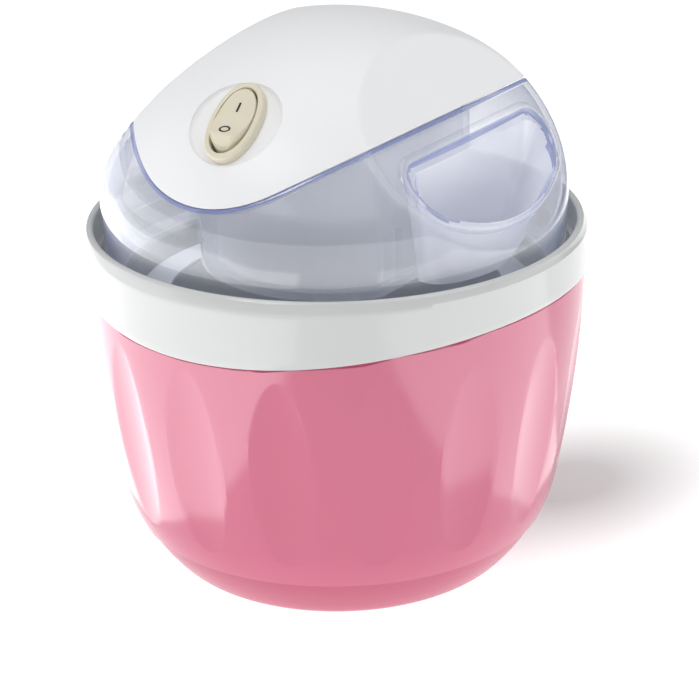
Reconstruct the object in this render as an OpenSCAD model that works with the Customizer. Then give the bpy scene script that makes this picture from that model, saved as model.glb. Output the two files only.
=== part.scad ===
// Half-litre ice cream maker.
// A fluted housing with a collar holds a lift-out freezer bowl. A clear domed lid with a
// feed chute stands in the collar, and the power unit hangs in the well of that lid.
// Millimetres, +Z up. The origin is at the middle of the feet, on the worktop.
// The switch faces -Y, the mains inlet +Y and the feed mouth +X.

/* [Housing] */
// Outside radius of the housing at its top edge
bowl_r = 89.3; // [87:0.1:92]
// Height of the housing's top edge
bowl_h = 118; // [112:1:124]
// Wall of the housing
bowl_wall = 3; // [2.4:0.1:3.6]
// Radius of the curve between wall and base
corner_r = 60; // [50:1:64]
// Height at which that curve meets the wall
corner_top = 35.5; // [32:0.5:40]
// Radius of the tighter curve under that one, where the housing meets its base
base_r = 17; // [12:1:22]
// Slope of the wall at its top edge, in degrees
wall_slope = 0.8; // [0.4:0.1:2]
// Radius of the gentle barrel curve of the wall
barrel_r = 406; // [360:2:500]
// Height of the fine line round the foot of the housing
foot_line = 21; // [18:0.5:24]
// Number of flutes round the housing
flutes = 16; // [10:1:20]
// Depth of a flute at its middle
flute_depth = 1.75; // [1.2:0.05:2]
// Radius of the tool that cuts a flute
flute_r = 62; // [50:2:100]
// How far the middle of the flutes lies below that top edge
flute_down = 53; // [48:1:60]
// Turn of the first flute from the front, in degrees
flute_turn = 22; // [0:1:45]

/* [Feet] */
// Radius of a rubber foot
foot_r = 6; // [4:0.5:8]
// Distance of the feet from the middle
foot_ring = 38; // [32:1:42]
// How far the feet stand out below the housing
foot_out = 1.2; // [0.8:0.1:2.5]

/* [Collar] */
// How far the collar stands out beyond the housing
collar_over = 0.7; // [0.6:0.1:2]
// Height of the collar's rim above the housing's top edge
collar_up = 14; // [12:0.5:18]
// Width of the rim
rim_w = 3.8; // [3:0.1:4.6]
// Wall of the skirt that hangs over the housing
skirt_wall = 1.8; // [1.4:0.1:2]
// How far the skirt overlaps the housing at the sides
skirt_lap = 2.5; // [1.5:0.5:5]
// How much lower that edge is at the front and back
skirt_dip = 9; // [4:0.5:10]
// How far the ledge that carries the lid lies below the housing's top edge
ledge_down = 6; // [5:0.5:8]
// Width of the ledge under the lid
ledge_w = 5.8; // [4:0.2:6.4]

/* [Freezer bowl] */
// Gap between the freezer bowl's rim and the ledge
freezer_gap = 4.4; // [3:0.2:8]
// How far that rim lies below the ledge
freezer_down = 8; // [6:0.5:12]
// How much smaller the freezer bowl's radius is at its foot
freezer_taper = 11.6; // [9:0.2:14]
// Height of its underside
freezer_z = 14; // [12:0.5:18]
// Thickness of the double wall at the rim
gel_wall = 11.1; // [9:0.1:14]
// How much smaller the liner's radius is at its floor
liner_taper = 6.5; // [4:0.5:9]
// Thickness of the double floor
gel_floor = 16; // [12:0.5:20]
// Thickness of the metal liner
liner_wall = 1.2; // [0.8:0.1:1.6]
// Thickness of the outer shell
shell_wall = 2; // [1.6:0.1:2.6]

/* [Lid] */
// Gap between the collar's rim and the dome
dome_gap = 2.9; // [2:0.1:4]
// Height above the ledge at which the dome is widest
shoulder_up = 28; // [24:1:32]
// Height of the dome above that
dome_h = 65; // [62:0.5:68]
// Radius of the flat crown of the dome
crown_r = 110; // [96:1:130]
// How much smaller the lid's radius is where it meets the ledge
lid_taper = 1.5; // [1:0.1:2.5]
// Wall of the clear lid
lid_wall = 2.2; // [1.8:0.1:2.6]
// Slope of the two flat facets, in degrees
facet_tilt = 50; // [46:0.5:54]
// How far a facet lies inside the dome's widest radius, at the height of the seam
facet_in = 33.8; // [31:0.1:35]
// Slope of the facet opposite the mouth, in degrees
far_tilt = 53; // [50:0.5:57]
// How far that facet lies inside the dome's widest radius, at the height of the seam
far_in = 38.8; // [36:0.1:41]
// Height of the seam above the dome's widest point, at the facets
seam_up = 37.5; // [35:0.5:40]
// Slope of the seam next to the facets, in degrees
seam_tilt = 29.5; // [27:0.5:31]
// Radius of the seam where it dips between the facets
seam_r = 56; // [48:1:64]

/* [Well] */
// Outside radius of the motor well
well_r = 48.4; // [47:0.2:50]
// Distance of the well's flat sides from the axis
well_flat = 39.2; // [38:0.2:41]
// Height of the well's floor above the ledge
well_up = 5; // [4:0.5:8]
// Radius of the hole that the paddle's neck turns in
neck_r = 10; // [9:0.5:12]

/* [Feed mouth] */
// Distance of the mouth's straight edge below the seam, along the facet
mouth_drop = 10; // [8:0.5:12]
// Half width of the mouth
mouth_w = 41.5; // [36:0.5:42]
// Depth of the mouth along the facet
mouth_depth = 31.2; // [28:0.2:32]
// Width of the raised lip round the mouth
lip_w = 3; // [2:0.2:3.4]
// Height of the raised lip
lip_h = 1.6; // [1:0.1:2.4]
// Height of the chute's lower end above the ledge
outlet_up = 13; // [9:1:18]
// How far the outlet's straight edge lies outside the facet's upper edge
outlet_out = 3.5; // [2:0.5:5]
// Half width of the outlet
outlet_w = 24; // [20:0.5:26]
// Depth of the outlet
outlet_depth = 14.5; // [12:0.5:16]

/* [Power unit] */
// Wall of the white cover
cover_wall = 2.5; // [2:0.1:3]
// Thickness of the tray under the cover
tray_t = 1.6; // [1.4:0.1:2]
// Wall of the lower housing
housing_wall = 2; // [1.6:0.1:2.4]
// Clearance of the housing in the well, above its step
well_gap = 1; // [0.8:0.1:1.6]
// How much narrower the housing is below its step
housing_step = 3; // [2:0.5:4]
// Height of that step above the well's floor
step_up = 23; // [19:1:27]

/* [Switch] */
// How far the switch lies inside the dome's widest radius
switch_in = 20.3; // [19.5:0.1:22]
// Turn of the switch from the front, in degrees
switch_turn = 4; // [0:0.5:6]
// Radius of the round recess for the switch
recess_r = 17.4; // [16.8:0.2:18.4]
// Depth of the recess below the dome
recess_d = 3.2; // [2.8:0.1:3.6]
// Half length of the oval bezel
bezel_l = 15.4; // [15:0.2:16.2]
// Half width of the oval bezel
bezel_w = 9.2; // [9:0.2:10]
// Half length of the rocker
rocker_l = 11.6; // [11:0.1:12]
// Half width of the rocker
rocker_w = 6.8; // [6.4:0.1:7.2]
// Tilt of the rocker each way, in degrees
rocker_tilt = 10; // [8:1:12]

/* [Gears and motor] */
// Module of the output gear and the pinion that drives it
out_module = 0.8; // [0.7:0.05:0.85]
// Module of the first gear pair
in_module = 0.6; // [0.5:0.05:0.65]
// Teeth of both large gears
gear_teeth = 40; // [36:1:42]
// Teeth of both pinions
pinion_teeth = 12; // [12:1:14]
// Distance of the rotor from the main axis
rotor_off = 12; // [11:0.5:14]
// Radius of the output shaft
shaft_r = 4; // [3.5:0.25:4.5]
// How far the output shaft reaches below the well's floor
shaft_down = 16; // [13:0.5:19]
// Outside radius of the motor can
can_r = 24; // [22:0.5:24.5]
// Height of the motor can
can_h = 22; // [18:0.5:26]

/* [Paddle] */
// Thickness of the paddle's blade
blade_t = 3; // [2.4:0.2:4]
// Clearance between the paddle and the liner
paddle_gap = 1.5; // [1:0.1:3]
// How far the paddle's upper arm lies below the freezer bowl's rim
arm_down = 18; // [12:1:26]
// Width of the paddle's bars
bar_w = 9; // [7:0.5:12]

/* [Hidden] */
$fn = 96;

// Clearances
fit = 0.3;        // between faces of different bodies
snug = 0.2;       // between pieces of one body
run = 0.05;       // radial clearance of a shaft that turns
eps = 0.01;
big = 400;

// ---- derived sizes -------------------------------------------------------------------
base_z = foot_out;
flute_mid = bowl_h - flute_down;
collar_r = bowl_r + collar_over;
collar_top = bowl_h + collar_up;
skirt_side = bowl_h - skirt_lap;
ledge_z = bowl_h - ledge_down;
dome_r = collar_r - rim_w - dome_gap;
lid_foot_r = dome_r - lid_taper;
ledge_r = lid_foot_r - ledge_w;
freezer_r = ledge_r - freezer_gap;
freezer_top = ledge_z - freezer_down;
shell_foot = freezer_r - freezer_taper;
liner_r = freezer_r - gel_wall;
liner_floor_r = liner_r - liner_taper;
liner_z = freezer_z + gel_floor;
shoulder_z = ledge_z + shoulder_up;
dome_top = shoulder_z + dome_h;
facet_x = dome_r - facet_in;
seam_top = shoulder_z + seam_up;
well_z = ledge_z + well_up;
well_floor = well_z + 2;

// Housing outline: a barrel curve for the wall and two arcs down to the base
function wall_r(z) = bowl_r - tan(wall_slope) * (bowl_h - z) - pow(bowl_h - z, 2) / (2 * barrel_r);
corner_a = atan(tan(wall_slope) + (bowl_h - corner_top) / barrel_r);
corner_c = [wall_r(corner_top) - corner_r * cos(corner_a), corner_top + corner_r * sin(corner_a)];
base_a = asin((corner_c[1] - base_z - base_r) / (corner_r - base_r));
base_c = corner_c + (corner_r - base_r) * [cos(base_a), -sin(base_a)];

// Dome outline: a crown arc tangent to a shoulder arc
shoulder_r = (2 * dome_h * crown_r - dome_r * dome_r - dome_h * dome_h) / (2 * (crown_r - dome_r));
shoulder_x = dome_r - shoulder_r;
crown_z = dome_top - crown_r;
facet_d = facet_x * sin(facet_tilt) + seam_top * cos(facet_tilt);
far_x = dome_r - far_in;
far_d = far_x * sin(far_tilt) + (seam_top - (facet_x - far_x) * tan(seam_tilt)) * cos(far_tilt);
tray_low = fit;
tray_top = fit + tray_t;

// Seam: a valley along Y with two straight flanks and a round bottom
seam_low = seam_top - seam_r * (1 - cos(seam_tilt)) - (facet_x - seam_r * sin(seam_tilt)) * tan(seam_tilt);
function seam_z(x) = abs(x) > seam_r * sin(seam_tilt)
    ? seam_top - (facet_x - abs(x)) * tan(seam_tilt)
    : seam_low + seam_r - sqrt(seam_r * seam_r - x * x);

// Skirt's lower edge, a cylinder of large radius that lies along X
skirt_edge_r = (collar_r * collar_r + skirt_dip * skirt_dip) / (2 * skirt_dip);

// Feed mouth, on the facet, and the outlet below it
outlet_z = ledge_z + outlet_up;
outlet_x = facet_x + outlet_out;
mouth_u = facet_x * cos(facet_tilt) - seam_top * sin(facet_tilt) + mouth_drop;

// Switch
switch_r = dome_r - switch_in;
switch_tilt = asin((switch_r - shoulder_x) / shoulder_r);
switch_z = shoulder_z + shoulder_r * cos(switch_tilt);
bezel_top = 0.4;
body_d = 16;
hinge_r = 1.2;
pivot_w = -2;
hole_l = rocker_l + 1.4;
hole_w = rocker_w + 0.4;

// Mains inlet
inlet_z = seam_low + 13;
inlet_r = 5;
inlet_end = dome_r - 2.3;
inlet_bore = 3.4;

// Power unit
housing_r = well_r - 2 - well_gap;
housing_flat = well_flat - 2 - well_gap;
housing_z = well_floor + fit;
floor_top = housing_z + housing_wall;
low_r = housing_r - housing_step;
low_flat = housing_flat - housing_step / 2;
step_z = well_floor + step_up;

// Gear train
out_dist = out_module * (gear_teeth + pinion_teeth) / 2;
in_dist = in_module * (gear_teeth + pinion_teeth) / 2;
idler_a = acos((out_dist * out_dist + rotor_off * rotor_off - in_dist * in_dist)
    / (2 * out_dist * rotor_off));
rotor_p = [0, rotor_off];
idler_p = [out_dist * sin(idler_a), out_dist * cos(idler_a)];
out_gear_z = floor_top + 4.3;
out_gear_h = 6;
in_gear_z = out_gear_z + out_gear_h + 0.9;
in_gear_h = 4;
plate_z = in_gear_z + in_gear_h + 1.2;
plate_t = 1.5;
can_z = plate_z + plate_t;
shaft_z = well_z - shaft_down;
magnet_r = 11;
pin_r = 1.5;
post_p = [[-26, -20], [26, -20], [-26, 22], [20, 31]];

// Paddle
arm_z = freezer_top - arm_down;
blade_foot = liner_z + 3;
function edge_at(z) = liner_floor_r + (liner_r - liner_floor_r) * (z - liner_z) / (freezer_top - liner_z)
    - paddle_gap;

// ---- helpers -------------------------------------------------------------------------
function arc(c, r, a0, a1, n) = [for (i = [0:n])
    let (a = a0 + (a1 - a0) * i / n) c + r * [cos(a), sin(a)]];
function oval(l, w, n = 48) = [for (i = [0:n - 1])
    let (a = 360 * i / n, c = cos(a), s = sin(a))
    [w * sign(c) * pow(abs(c), 0.94), l * sign(s) * pow(abs(s), 0.94)]];

// Half outline of the dome, grown or shrunk by off
module dome_2d(off) {
    far = 2 * crown_r;
    lean = [shoulder_x, shoulder_z - crown_z] / norm([shoulder_x, shoulder_z - crown_z]);
    intersection() {
        square([big, big]);
        union() {
            translate([shoulder_x, shoulder_z]) circle(r = shoulder_r + off);
            intersection() {
                translate([0, crown_z]) circle(r = crown_r + off);
                polygon([[0, crown_z], [0, crown_z + far], [0, crown_z] + far * lean]);
            }
            polygon([[0, ledge_z - 10], [lid_foot_r + off, ledge_z - 10], [lid_foot_r + off, ledge_z],
                [dome_r + off, shoulder_z], [0, shoulder_z]]);
        }
    }
}

// The dome with its two facets
module dome(off) {
    difference() {
        intersection() {
            rotate_extrude() dome_2d(off);
            translate([-big / 2, -big / 2, ledge_z - 10]) cube([big, big, big]);
        }
        rotate([0, facet_tilt, 0]) translate([-big, -big / 2, facet_d + off]) cube([2 * big, big, big]);
        rotate([0, -far_tilt, 0]) translate([-big, -big / 2, far_d + off]) cube([2 * big, big, big]);
    }
}

// Everything above the seam, raised by off
module above_seam(off) {
    r = seam_r - off;
    x1 = r * sin(seam_tilt);
    z1 = seam_low + seam_r - r * cos(seam_tilt);
    rotate([90, 0, 0]) linear_extrude(big, center = true) {
        translate([0, seam_low + seam_r]) circle(r = r);
        polygon([[-x1, z1], [x1, z1], [x1 + big * cos(seam_tilt), z1 + big * sin(seam_tilt)],
            [-x1 - big * cos(seam_tilt), z1 + big * sin(seam_tilt)]]);
    }
}

// Round prism with two flat sides
module flatted(r, flat, z0, z1) {
    translate([0, 0, z0]) linear_extrude(z1 - z0) intersection() {
        circle(r = r);
        square([2 * flat, 3 * r], center = true);
    }
}

// D outline: a straight edge on u = 0, round corners and a bowed far edge
module d_outline(w, depth, bow, low, high, off) {
    far_c = [depth - bow, 0];
    low_c = [depth - bow + sqrt(pow(bow - low, 2) - pow(w - low, 2)), w - low];
    turn = atan2(low_c[1], low_c[0] - far_c[0]);
    half = concat(arc(far_c, bow + off, 0, turn, 10), arc(low_c, low + off, turn, 90, 6),
        arc([high, w - high], high + off, 90, 180, 5));
    polygon(concat(half, [for (i = [len(half) - 1:-1:1]) [half[i][0], -half[i][1]]]));
}
module mouth_2d(off) translate([mouth_u, 0]) d_outline(mouth_w, mouth_depth, 66, 16, 7, off);
module outlet_2d(off) translate([outlet_x, 0]) d_outline(outlet_w, outlet_depth, 40, 8, 2, off);

// Space of the chute from its outlet to w above the facet
module chute(off, w, down) {
    hull() {
        rotate([0, facet_tilt, 0]) translate([0, 0, facet_d + w - eps]) linear_extrude(eps) mouth_2d(off);
        translate([0, 0, outlet_z - down]) linear_extrude(eps) outlet_2d(off);
    }
}

module at_switch() rotate([0, 0, switch_turn]) translate([0, -switch_r, switch_z])
    rotate([switch_tilt, 0, 0]) children();

// Involute spur gear with a little backlash
function inv(b, r) = let (t = sqrt(max(0, pow(r / b, 2) - 1))) t * 180 / PI - atan(t);
module gear_2d(m, teeth, play = 0.09) {
    pr = m * teeth / 2;
    br = pr * cos(20);
    tip = pr + 0.95 * m;
    root = pr - 1.2 * m;
    half = 90 / teeth - (play / 2) * 180 / (PI * pr) + inv(br, pr);
    low = max(br, root);
    flank = [for (i = [0:4]) let (r = low + (tip - low) * i / 4) [r, half - inv(br, r)]];
    tooth = concat([[root, -half - 0.4]], [for (f = flank) [f[0], -f[1]]],
        [for (i = [4:-1:0]) flank[i]], [[root, half + 0.4]]);
    polygon([for (k = [0:teeth - 1]) for (p = tooth)
        p[0] * [cos(p[1] + 360 * k / teeth), sin(p[1] + 360 * k / teeth)]]);
}

module tube(ro, ri, z0, z1) {
    translate([0, 0, z0]) difference() {
        cylinder(r = ro, h = z1 - z0);
        translate([0, 0, -1]) cylinder(r = ri, h = z1 - z0 + 2);
    }
}

// ---- base ----------------------------------------------------------------------------
// Housing outline, moved in by off and closed at height top
module bowl_2d(off, top) {
    n = 10;
    wall = [for (i = [0:n]) let (z = corner_top + (top - corner_top) * i / n) [wall_r(z) - off, z]];
    foot = arc(base_c, base_r - off, -90, -base_a - 6, 6);
    corner = arc(corner_c, corner_r - off, -base_a, -corner_a, 10);
    polygon(concat([[0, base_z + off]], foot, corner, wall, [[0, top]]));
}

module outer_bowl() {
    slope = atan(tan(wall_slope) + (bowl_h - flute_mid) / barrel_r);
    color("pink") difference() {
        union() {
            intersection() {
                rotate_extrude() bowl_2d(0, bowl_h);
                skirt_edge(-fit);
            }
            rotate_extrude() bowl_2d(bowl_wall / 2, bowl_h);
        }
        rotate_extrude() bowl_2d(bowl_wall, bowl_h + eps);
        // fine line round the foot
        translate([0, 0, foot_line]) difference() {
            cylinder(r = big / 4, h = 0.6);
            translate([0, 0, -1]) cylinder(r = corner_c[0]
                + sqrt(pow(corner_r, 2) - pow(corner_c[1] - foot_line, 2)) - 0.3, h = 3);
        }
        // flutes
        for (i = [0:flutes - 1])
            rotate([0, 0, flute_turn - 90 + i * 360 / flutes])
                translate([wall_r(flute_mid) - flute_depth + flute_r / cos(slope), 0, flute_mid])
                    rotate([0, slope, 0]) cylinder(r = flute_r, h = 100, center = true);
        // seats of the feet
        for (a = [45:90:315]) rotate([0, 0, a]) translate([foot_ring, 0, base_z - 1])
            cylinder(r = foot_r + snug, h = 2);
    }
    // ring that the freezer bowl stands on
    color("pink") tube(shell_foot - 14, shell_foot - 17, base_z + bowl_wall, freezer_z - fit);
}

// Everything below the edge of the collar's skirt, raised by off
module skirt_edge(off) {
    translate([0, 0, skirt_side + off - skirt_edge_r]) rotate([0, 90, 0])
        cylinder(r = skirt_edge_r, h = big, center = true, $fn = 400);
}

module collar() {
    skirt_in = bowl_r - bowl_wall / 2 + snug;
    lower_r = skirt_in + skirt_wall;
    inner = bowl_r - bowl_wall - snug;
    ledge_low = ledge_z - 2.5;
    inner_low = wall_r(ledge_low) - bowl_wall - snug;
    web = bowl_h + fit;
    edge = 1.2;
    color("white") difference() {
        rotate_extrude() polygon(concat([[collar_r - rim_w, web + 2]],
            arc([collar_r - rim_w + edge, collar_top - edge], edge, 180, 90, 5),
            arc([collar_r - edge, collar_top - edge], edge, 90, 0, 5),
            [[lower_r, skirt_side - skirt_dip - 1], [skirt_in, skirt_side - skirt_dip - 1],
            [skirt_in, web], [inner, web], [inner_low, ledge_low], [ledge_r, ledge_low],
            [ledge_r, ledge_z], [inner_low - 1.6, ledge_z], [inner - 1.6, web + 2]]));
        difference() {
            skirt_edge(0);
            cylinder(r = skirt_in - snug / 2, h = big / 2);
        }
    }
}

module rubber_feet() {
    color("dimgray") for (a = [45:90:315])
        rotate([0, 0, a]) translate([foot_ring, 0, 0]) {
            cylinder(r1 = foot_r - 0.6, r2 = foot_r, h = 0.6);
            translate([0, 0, 0.6]) cylinder(r = foot_r, h = base_z + 1 - 0.6);
        }
}

// ---- freezer bowl --------------------------------------------------------------------
rim_h = 4;
shell_top = freezer_top - rim_h;
module freezer_2d(off, top) {
    low = 8;
    r0 = shell_foot - off;
    r1 = freezer_r - 0.8 - off;
    z0 = freezer_z + off;
    polygon(concat([[0, z0]], arc([r0 - low, z0 + low], low, -90, -8, 6), [[r1, top], [0, top]]));
}
module liner_2d(off, top) {
    low = 10;
    r0 = liner_floor_r + off;
    z0 = liner_z - off;
    polygon(concat([[0, z0]], arc([r0 - low, z0 + low], low, -90, -6, 6), [[liner_r + off, top], [0, top]]));
}

module freezer_shell() {
    color("gainsboro") rotate_extrude() difference() {
        freezer_2d(0, shell_top);
        freezer_2d(shell_wall, shell_top + eps);
    }
}

module coolant_gel() {
    color("lightsteelblue") rotate_extrude() difference() {
        intersection() {
            freezer_2d(shell_wall + snug, shell_top);
            square([big, shell_top - 6]);
        }
        liner_2d(liner_wall + snug, shell_top);
    }
}

module freezer_liner() {
    color("silver") rotate_extrude() difference() {
        union() {
            liner_2d(liner_wall, freezer_top - 1);
            translate([0, freezer_top - 1 - liner_wall]) square([liner_r + 4, liner_wall]);
        }
        liner_2d(0, freezer_top + 1);
    }
}

module freezer_rim() {
    seat = freezer_top - 1 - liner_wall;
    color("whitesmoke") rotate_extrude() difference() {
        union() {
            translate([liner_r, shell_top + snug]) square([freezer_r - liner_r - 1, rim_h - snug]);
            translate([liner_r, shell_top + snug]) square([freezer_r - liner_r, rim_h - 1 - snug]);
            translate([freezer_r - 1, freezer_top - 1]) circle(r = 1);
        }
        translate([0, shell_top - 1]) square([liner_r + liner_wall + snug, rim_h]);
        translate([0, seat - snug]) square([liner_r + 4 + snug, liner_wall + 2 * snug]);
    }
}

// ---- lid -----------------------------------------------------------------------------
lid_z = ledge_z + fit;
module lid() {
    guide = 7;
    color("lavender", 0.5) difference() {
        union() {
            difference() {
                dome(0);
                above_seam(0);
                translate([0, 0, lid_z - 20]) cylinder(r = big / 2, h = 20);
                difference() {
                    dome(-lid_wall);
                    above_seam(-lid_wall);
                    flatted(well_r, well_flat, well_z, big);
                    chute(lid_wall, -eps, 0);
                }
            }
            // foot flange on the ledge
            tube(lid_foot_r, ledge_r + 1, lid_z, lid_z + 2);
            // boss round the neck of the paddle
            tube(neck_r + 3, neck_r, well_z - 4, well_floor);
            // raised lip of the feed mouth
            rotate([0, facet_tilt, 0]) translate([0, 0, facet_d - 1]) linear_extrude(lip_h + 1) mouth_2d(lip_w);
            // guides for the latches of the power unit
            for (x = [-1, 1], y = [-1, 1])
                translate([x * (well_flat + 1.4), y * 23, well_z + 14])
                    cube([3, guide, 18], center = true);
        }
        flatted(well_r - 2, well_flat - 2, well_floor, big);
        translate([0, 0, well_z - 5]) cylinder(r = neck_r, h = 10);
        chute(0, lip_h + 1, 1);
    }
}

// ---- power unit ----------------------------------------------------------------------
boss_p = [[-24, -45], [24, -45], [-24, 45], [24, 45]];
head_z = seam_z(24) + tray_top + 3;
boss_z = head_z + 3;
module motor_cover() {
    color("white") difference() {
        union() {
            difference() {
                union() {
                    dome(0);
                    // stub that holds the mains inlet
                    translate([0, 50, inlet_z]) rotate([-90, 0, 0]) cylinder(r = inlet_r + 2.6, h = inlet_end - 50);
                }
                dome(-cover_wall);
            }
            // floor under the switch
            intersection() {
                dome(-eps);
                at_switch() translate([0, 0, -recess_d - 2]) cylinder(r = recess_r + 2, h = 6);
            }
            // screw bosses
            intersection() {
                dome(-cover_wall / 2);
                for (p = boss_p) translate([p[0], p[1], boss_z + snug]) cylinder(r = 4, h = 40);
            }
        }
        difference() {
            translate([0, 0, big / 2]) cube([big, big, big], center = true);
            above_seam(fit);
        }
        at_switch() translate([0, 0, -recess_d]) cylinder(r = recess_r, h = 20);
        at_switch() translate([0, 0, -20]) linear_extrude(30)
            polygon(oval(hole_l + 1 + snug, hole_w + 1 + snug));
        translate([0, 40, inlet_z]) rotate([-90, 0, 0]) cylinder(r = inlet_r + run, h = 60);
        for (p = boss_p) translate([p[0], p[1], boss_z - 1]) cylinder(r = 1.5, h = 7);
    }
}

module motor_housing() {
    color("ghostwhite") difference() {
        union() {
            // tray
            difference() {
                intersection() {
                    dome(-cover_wall - snug);
                    above_seam(tray_low);
                }
                above_seam(tray_top);
            }
            // column with its step
            difference() {
                flatted(housing_r, housing_flat, step_z, big / 2);
                above_seam(tray_top);
            }
            flatted(low_r, low_flat, housing_z, step_z + housing_wall);
            // screw towers
            intersection() {
                above_seam(tray_low);
                for (p = boss_p) translate([p[0], p[1], seam_low]) cylinder(r = 4.4, h = boss_z - seam_low);
            }
        }
        for (p = boss_p) {
            translate([p[0], p[1], 0]) cylinder(r = 3.2, h = head_z);
            translate([p[0], p[1], 0]) cylinder(r = 1.8, h = big);
        }
        flatted(housing_r - housing_wall, housing_flat - housing_wall, step_z + housing_wall, big);
        difference() {
            flatted(low_r - housing_wall, low_flat - housing_wall, floor_top, step_z + housing_wall + 1);
            tube(9, 6.5, housing_z, floor_top + 3.6);
            translate([idler_p[0], idler_p[1], 0]) cylinder(r = 3.4, h = out_gear_z - 0.3);
            for (p = post_p) translate([p[0], p[1], 0]) cylinder(r = 3.2, h = plate_z);
        }
        translate([0, 0, housing_z - 1]) cylinder(r = 6.5, h = 12);
        translate([idler_p[0], idler_p[1], floor_top]) cylinder(r = pin_r, h = big);
        for (p = post_p) translate([p[0], p[1], plate_z - 8]) cylinder(r = 1.25, h = big);
    }
}

module output_bush() {
    color("goldenrod") translate([0, 0, housing_z]) {
        tube(6.5 - eps, shaft_r + run, 2.2, floor_top + 3.6 - housing_z);
    }
}

module shaft_seal() {
    color("dimgray") tube(6.5 - eps, shaft_r + run, housing_z, housing_z + 2);
}

module gear_plate() {
    color("silver") difference() {
        flatted(low_r - housing_wall - snug, low_flat - housing_wall - snug, plate_z, plate_z + plate_t);
        for (p = post_p) translate([p[0], p[1], 0]) cylinder(r = 1.7, h = big);
        translate([idler_p[0], idler_p[1], 0]) cylinder(r = pin_r + eps, h = big);
        translate([rotor_p[0], rotor_p[1], 0]) cylinder(r = 3.5, h = big);
        cylinder(r = shaft_r - 1.5 + run, h = big);
    }
}

module idler_pin() {
    color("silver") translate([idler_p[0], idler_p[1], floor_top + 0.1])
        cylinder(r = pin_r - eps, h = plate_z + plate_t - floor_top - 0.1);
}

module motor_can() {
    color("silver") translate([rotor_p[0], rotor_p[1], can_z]) difference() {
        union() {
            cylinder(r = can_r, h = can_h);
            for (s = [-1, 1]) translate([s * (can_r + 1), 0, 0.6]) cube([10, 8, 1.2], center = true);
        }
        translate([0, 0, -1]) cylinder(r = can_r - 1, h = can_h);
        cylinder(r = 3.5, h = big);
    }
}

module motor_coil() {
    color("chocolate") translate([rotor_p[0], rotor_p[1], 0])
        tube(can_r - 1.5, magnet_r + 3, can_z + 2, can_z + can_h - 2);
}

// Disc with a crown of claws between the coil and the magnet
module motor_poles() {
    claws = 12;
    color("gray") translate([rotor_p[0], rotor_p[1], 0]) {
        tube(can_r - 1.2, 3.5, can_z, can_z + 1.2);
        difference() {
            tube(magnet_r + 2, magnet_r + 0.8, can_z + 1.2, can_z + can_h - 3);
            for (i = [0:claws - 1]) rotate([0, 0, i * 360 / claws])
                translate([magnet_r + 1, 0, can_z + 2.5 + can_h / 2]) cube([4, 2.6, can_h], center = true);
        }
    }
}

module rotor_bushes() {
    color("goldenrod") translate([rotor_p[0], rotor_p[1], 0]) {
        tube(3.5 - eps, pin_r + run, plate_z, can_z + 3);
        tube(3.5 - eps, pin_r + run, can_z + can_h - 2.5, can_z + can_h + 1);
    }
}

module rotor_magnet() {
    color("black") translate([rotor_p[0], rotor_p[1], 0]) difference() {
        tube(magnet_r, pin_r + eps, can_z + 3.4, can_z + can_h - 3);
        tube(magnet_r - 3, 4, can_z + 3, can_z + 7);
    }
}

// Mesh: a tooth of each pinion points along the line of centres at a gap of its wheel
in_line = atan2(idler_p[1] - rotor_p[1], idler_p[0] - rotor_p[0]);
out_line = atan2(idler_p[1], idler_p[0]);
idler_turn = out_line + 180 + 180 / pinion_teeth;
gap_in = in_line + 180;
module rotor_pinion() {
    wheel = idler_turn;
    offset = (gap_in - wheel) * gear_teeth / 360;
    phase = (offset - floor(offset)) * 360 / pinion_teeth;
    color("silver") translate([rotor_p[0], rotor_p[1], 0]) {
        translate([0, 0, in_gear_z]) rotate([0, 0, in_line + 180 / pinion_teeth + phase])
            linear_extrude(in_gear_h) gear_2d(in_module, pinion_teeth);
        translate([0, 0, in_gear_z - 0.5]) cylinder(r = pin_r, h = can_z + can_h + 1.5 - in_gear_z);
    }
}

module idler_gear() {
    color("ivory") translate([idler_p[0], idler_p[1], 0]) difference() {
        union() {
            translate([0, 0, out_gear_z]) rotate([0, 0, idler_turn])
                linear_extrude(in_gear_z - out_gear_z) gear_2d(out_module, pinion_teeth);
            translate([0, 0, in_gear_z]) rotate([0, 0, idler_turn])
                linear_extrude(in_gear_h) gear_2d(in_module, gear_teeth);
        }
        cylinder(r = pin_r + run, h = big);
    }
}

module output_gear() {
    color("ivory") difference() {
        translate([0, 0, out_gear_z]) rotate([0, 0, out_line])
            linear_extrude(out_gear_h) gear_2d(out_module, gear_teeth);
        cylinder(r = shaft_r + eps, h = big);
        translate([0, 0, out_gear_z + out_gear_h - 1.5]) difference() {
            cylinder(r = out_module * gear_teeth / 2 - 3, h = 2);
            cylinder(r = shaft_r + 3, h = 2);
        }
    }
}

// Shaft with a flat on its lower end and a thin journal on top
module output_shaft() {
    color("silver") difference() {
        union() {
            translate([0, 0, shaft_z]) cylinder(r = shaft_r, h = out_gear_z + out_gear_h - shaft_z);
            cylinder(r = shaft_r - 1.5, h = plate_z + plate_t - 0.2);
        }
        translate([0, 0, -eps]) cylinder(r = shaft_r, h = shaft_z);
        translate([shaft_r - 1.2, -10, shaft_z - 1]) cube([10, 20, well_z - shaft_z - 3]);
    }
}

module switch_body() {
    color("cornsilk") at_switch() difference() {
        union() {
            translate([0, 0, -recess_d]) linear_extrude(recess_d + bezel_top - 1)
                polygon(oval(bezel_l, bezel_w));
            translate([0, 0, bezel_top - 1]) linear_extrude(1) polygon(oval(bezel_l - 1, bezel_w - 1));
            translate([0, 0, -body_d]) linear_extrude(body_d - 1) polygon(oval(hole_l + 1, hole_w + 1));
        }
        translate([0, 0, 4 - body_d]) linear_extrude(30) polygon(oval(hole_l, hole_w));
        // holes for the rocker's pins
        translate([0, 0, pivot_w]) rotate([0, 90, 0])
            cylinder(r = hinge_r + run, h = 2 * (hole_w + 0.8), center = true);
    }
}

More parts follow.
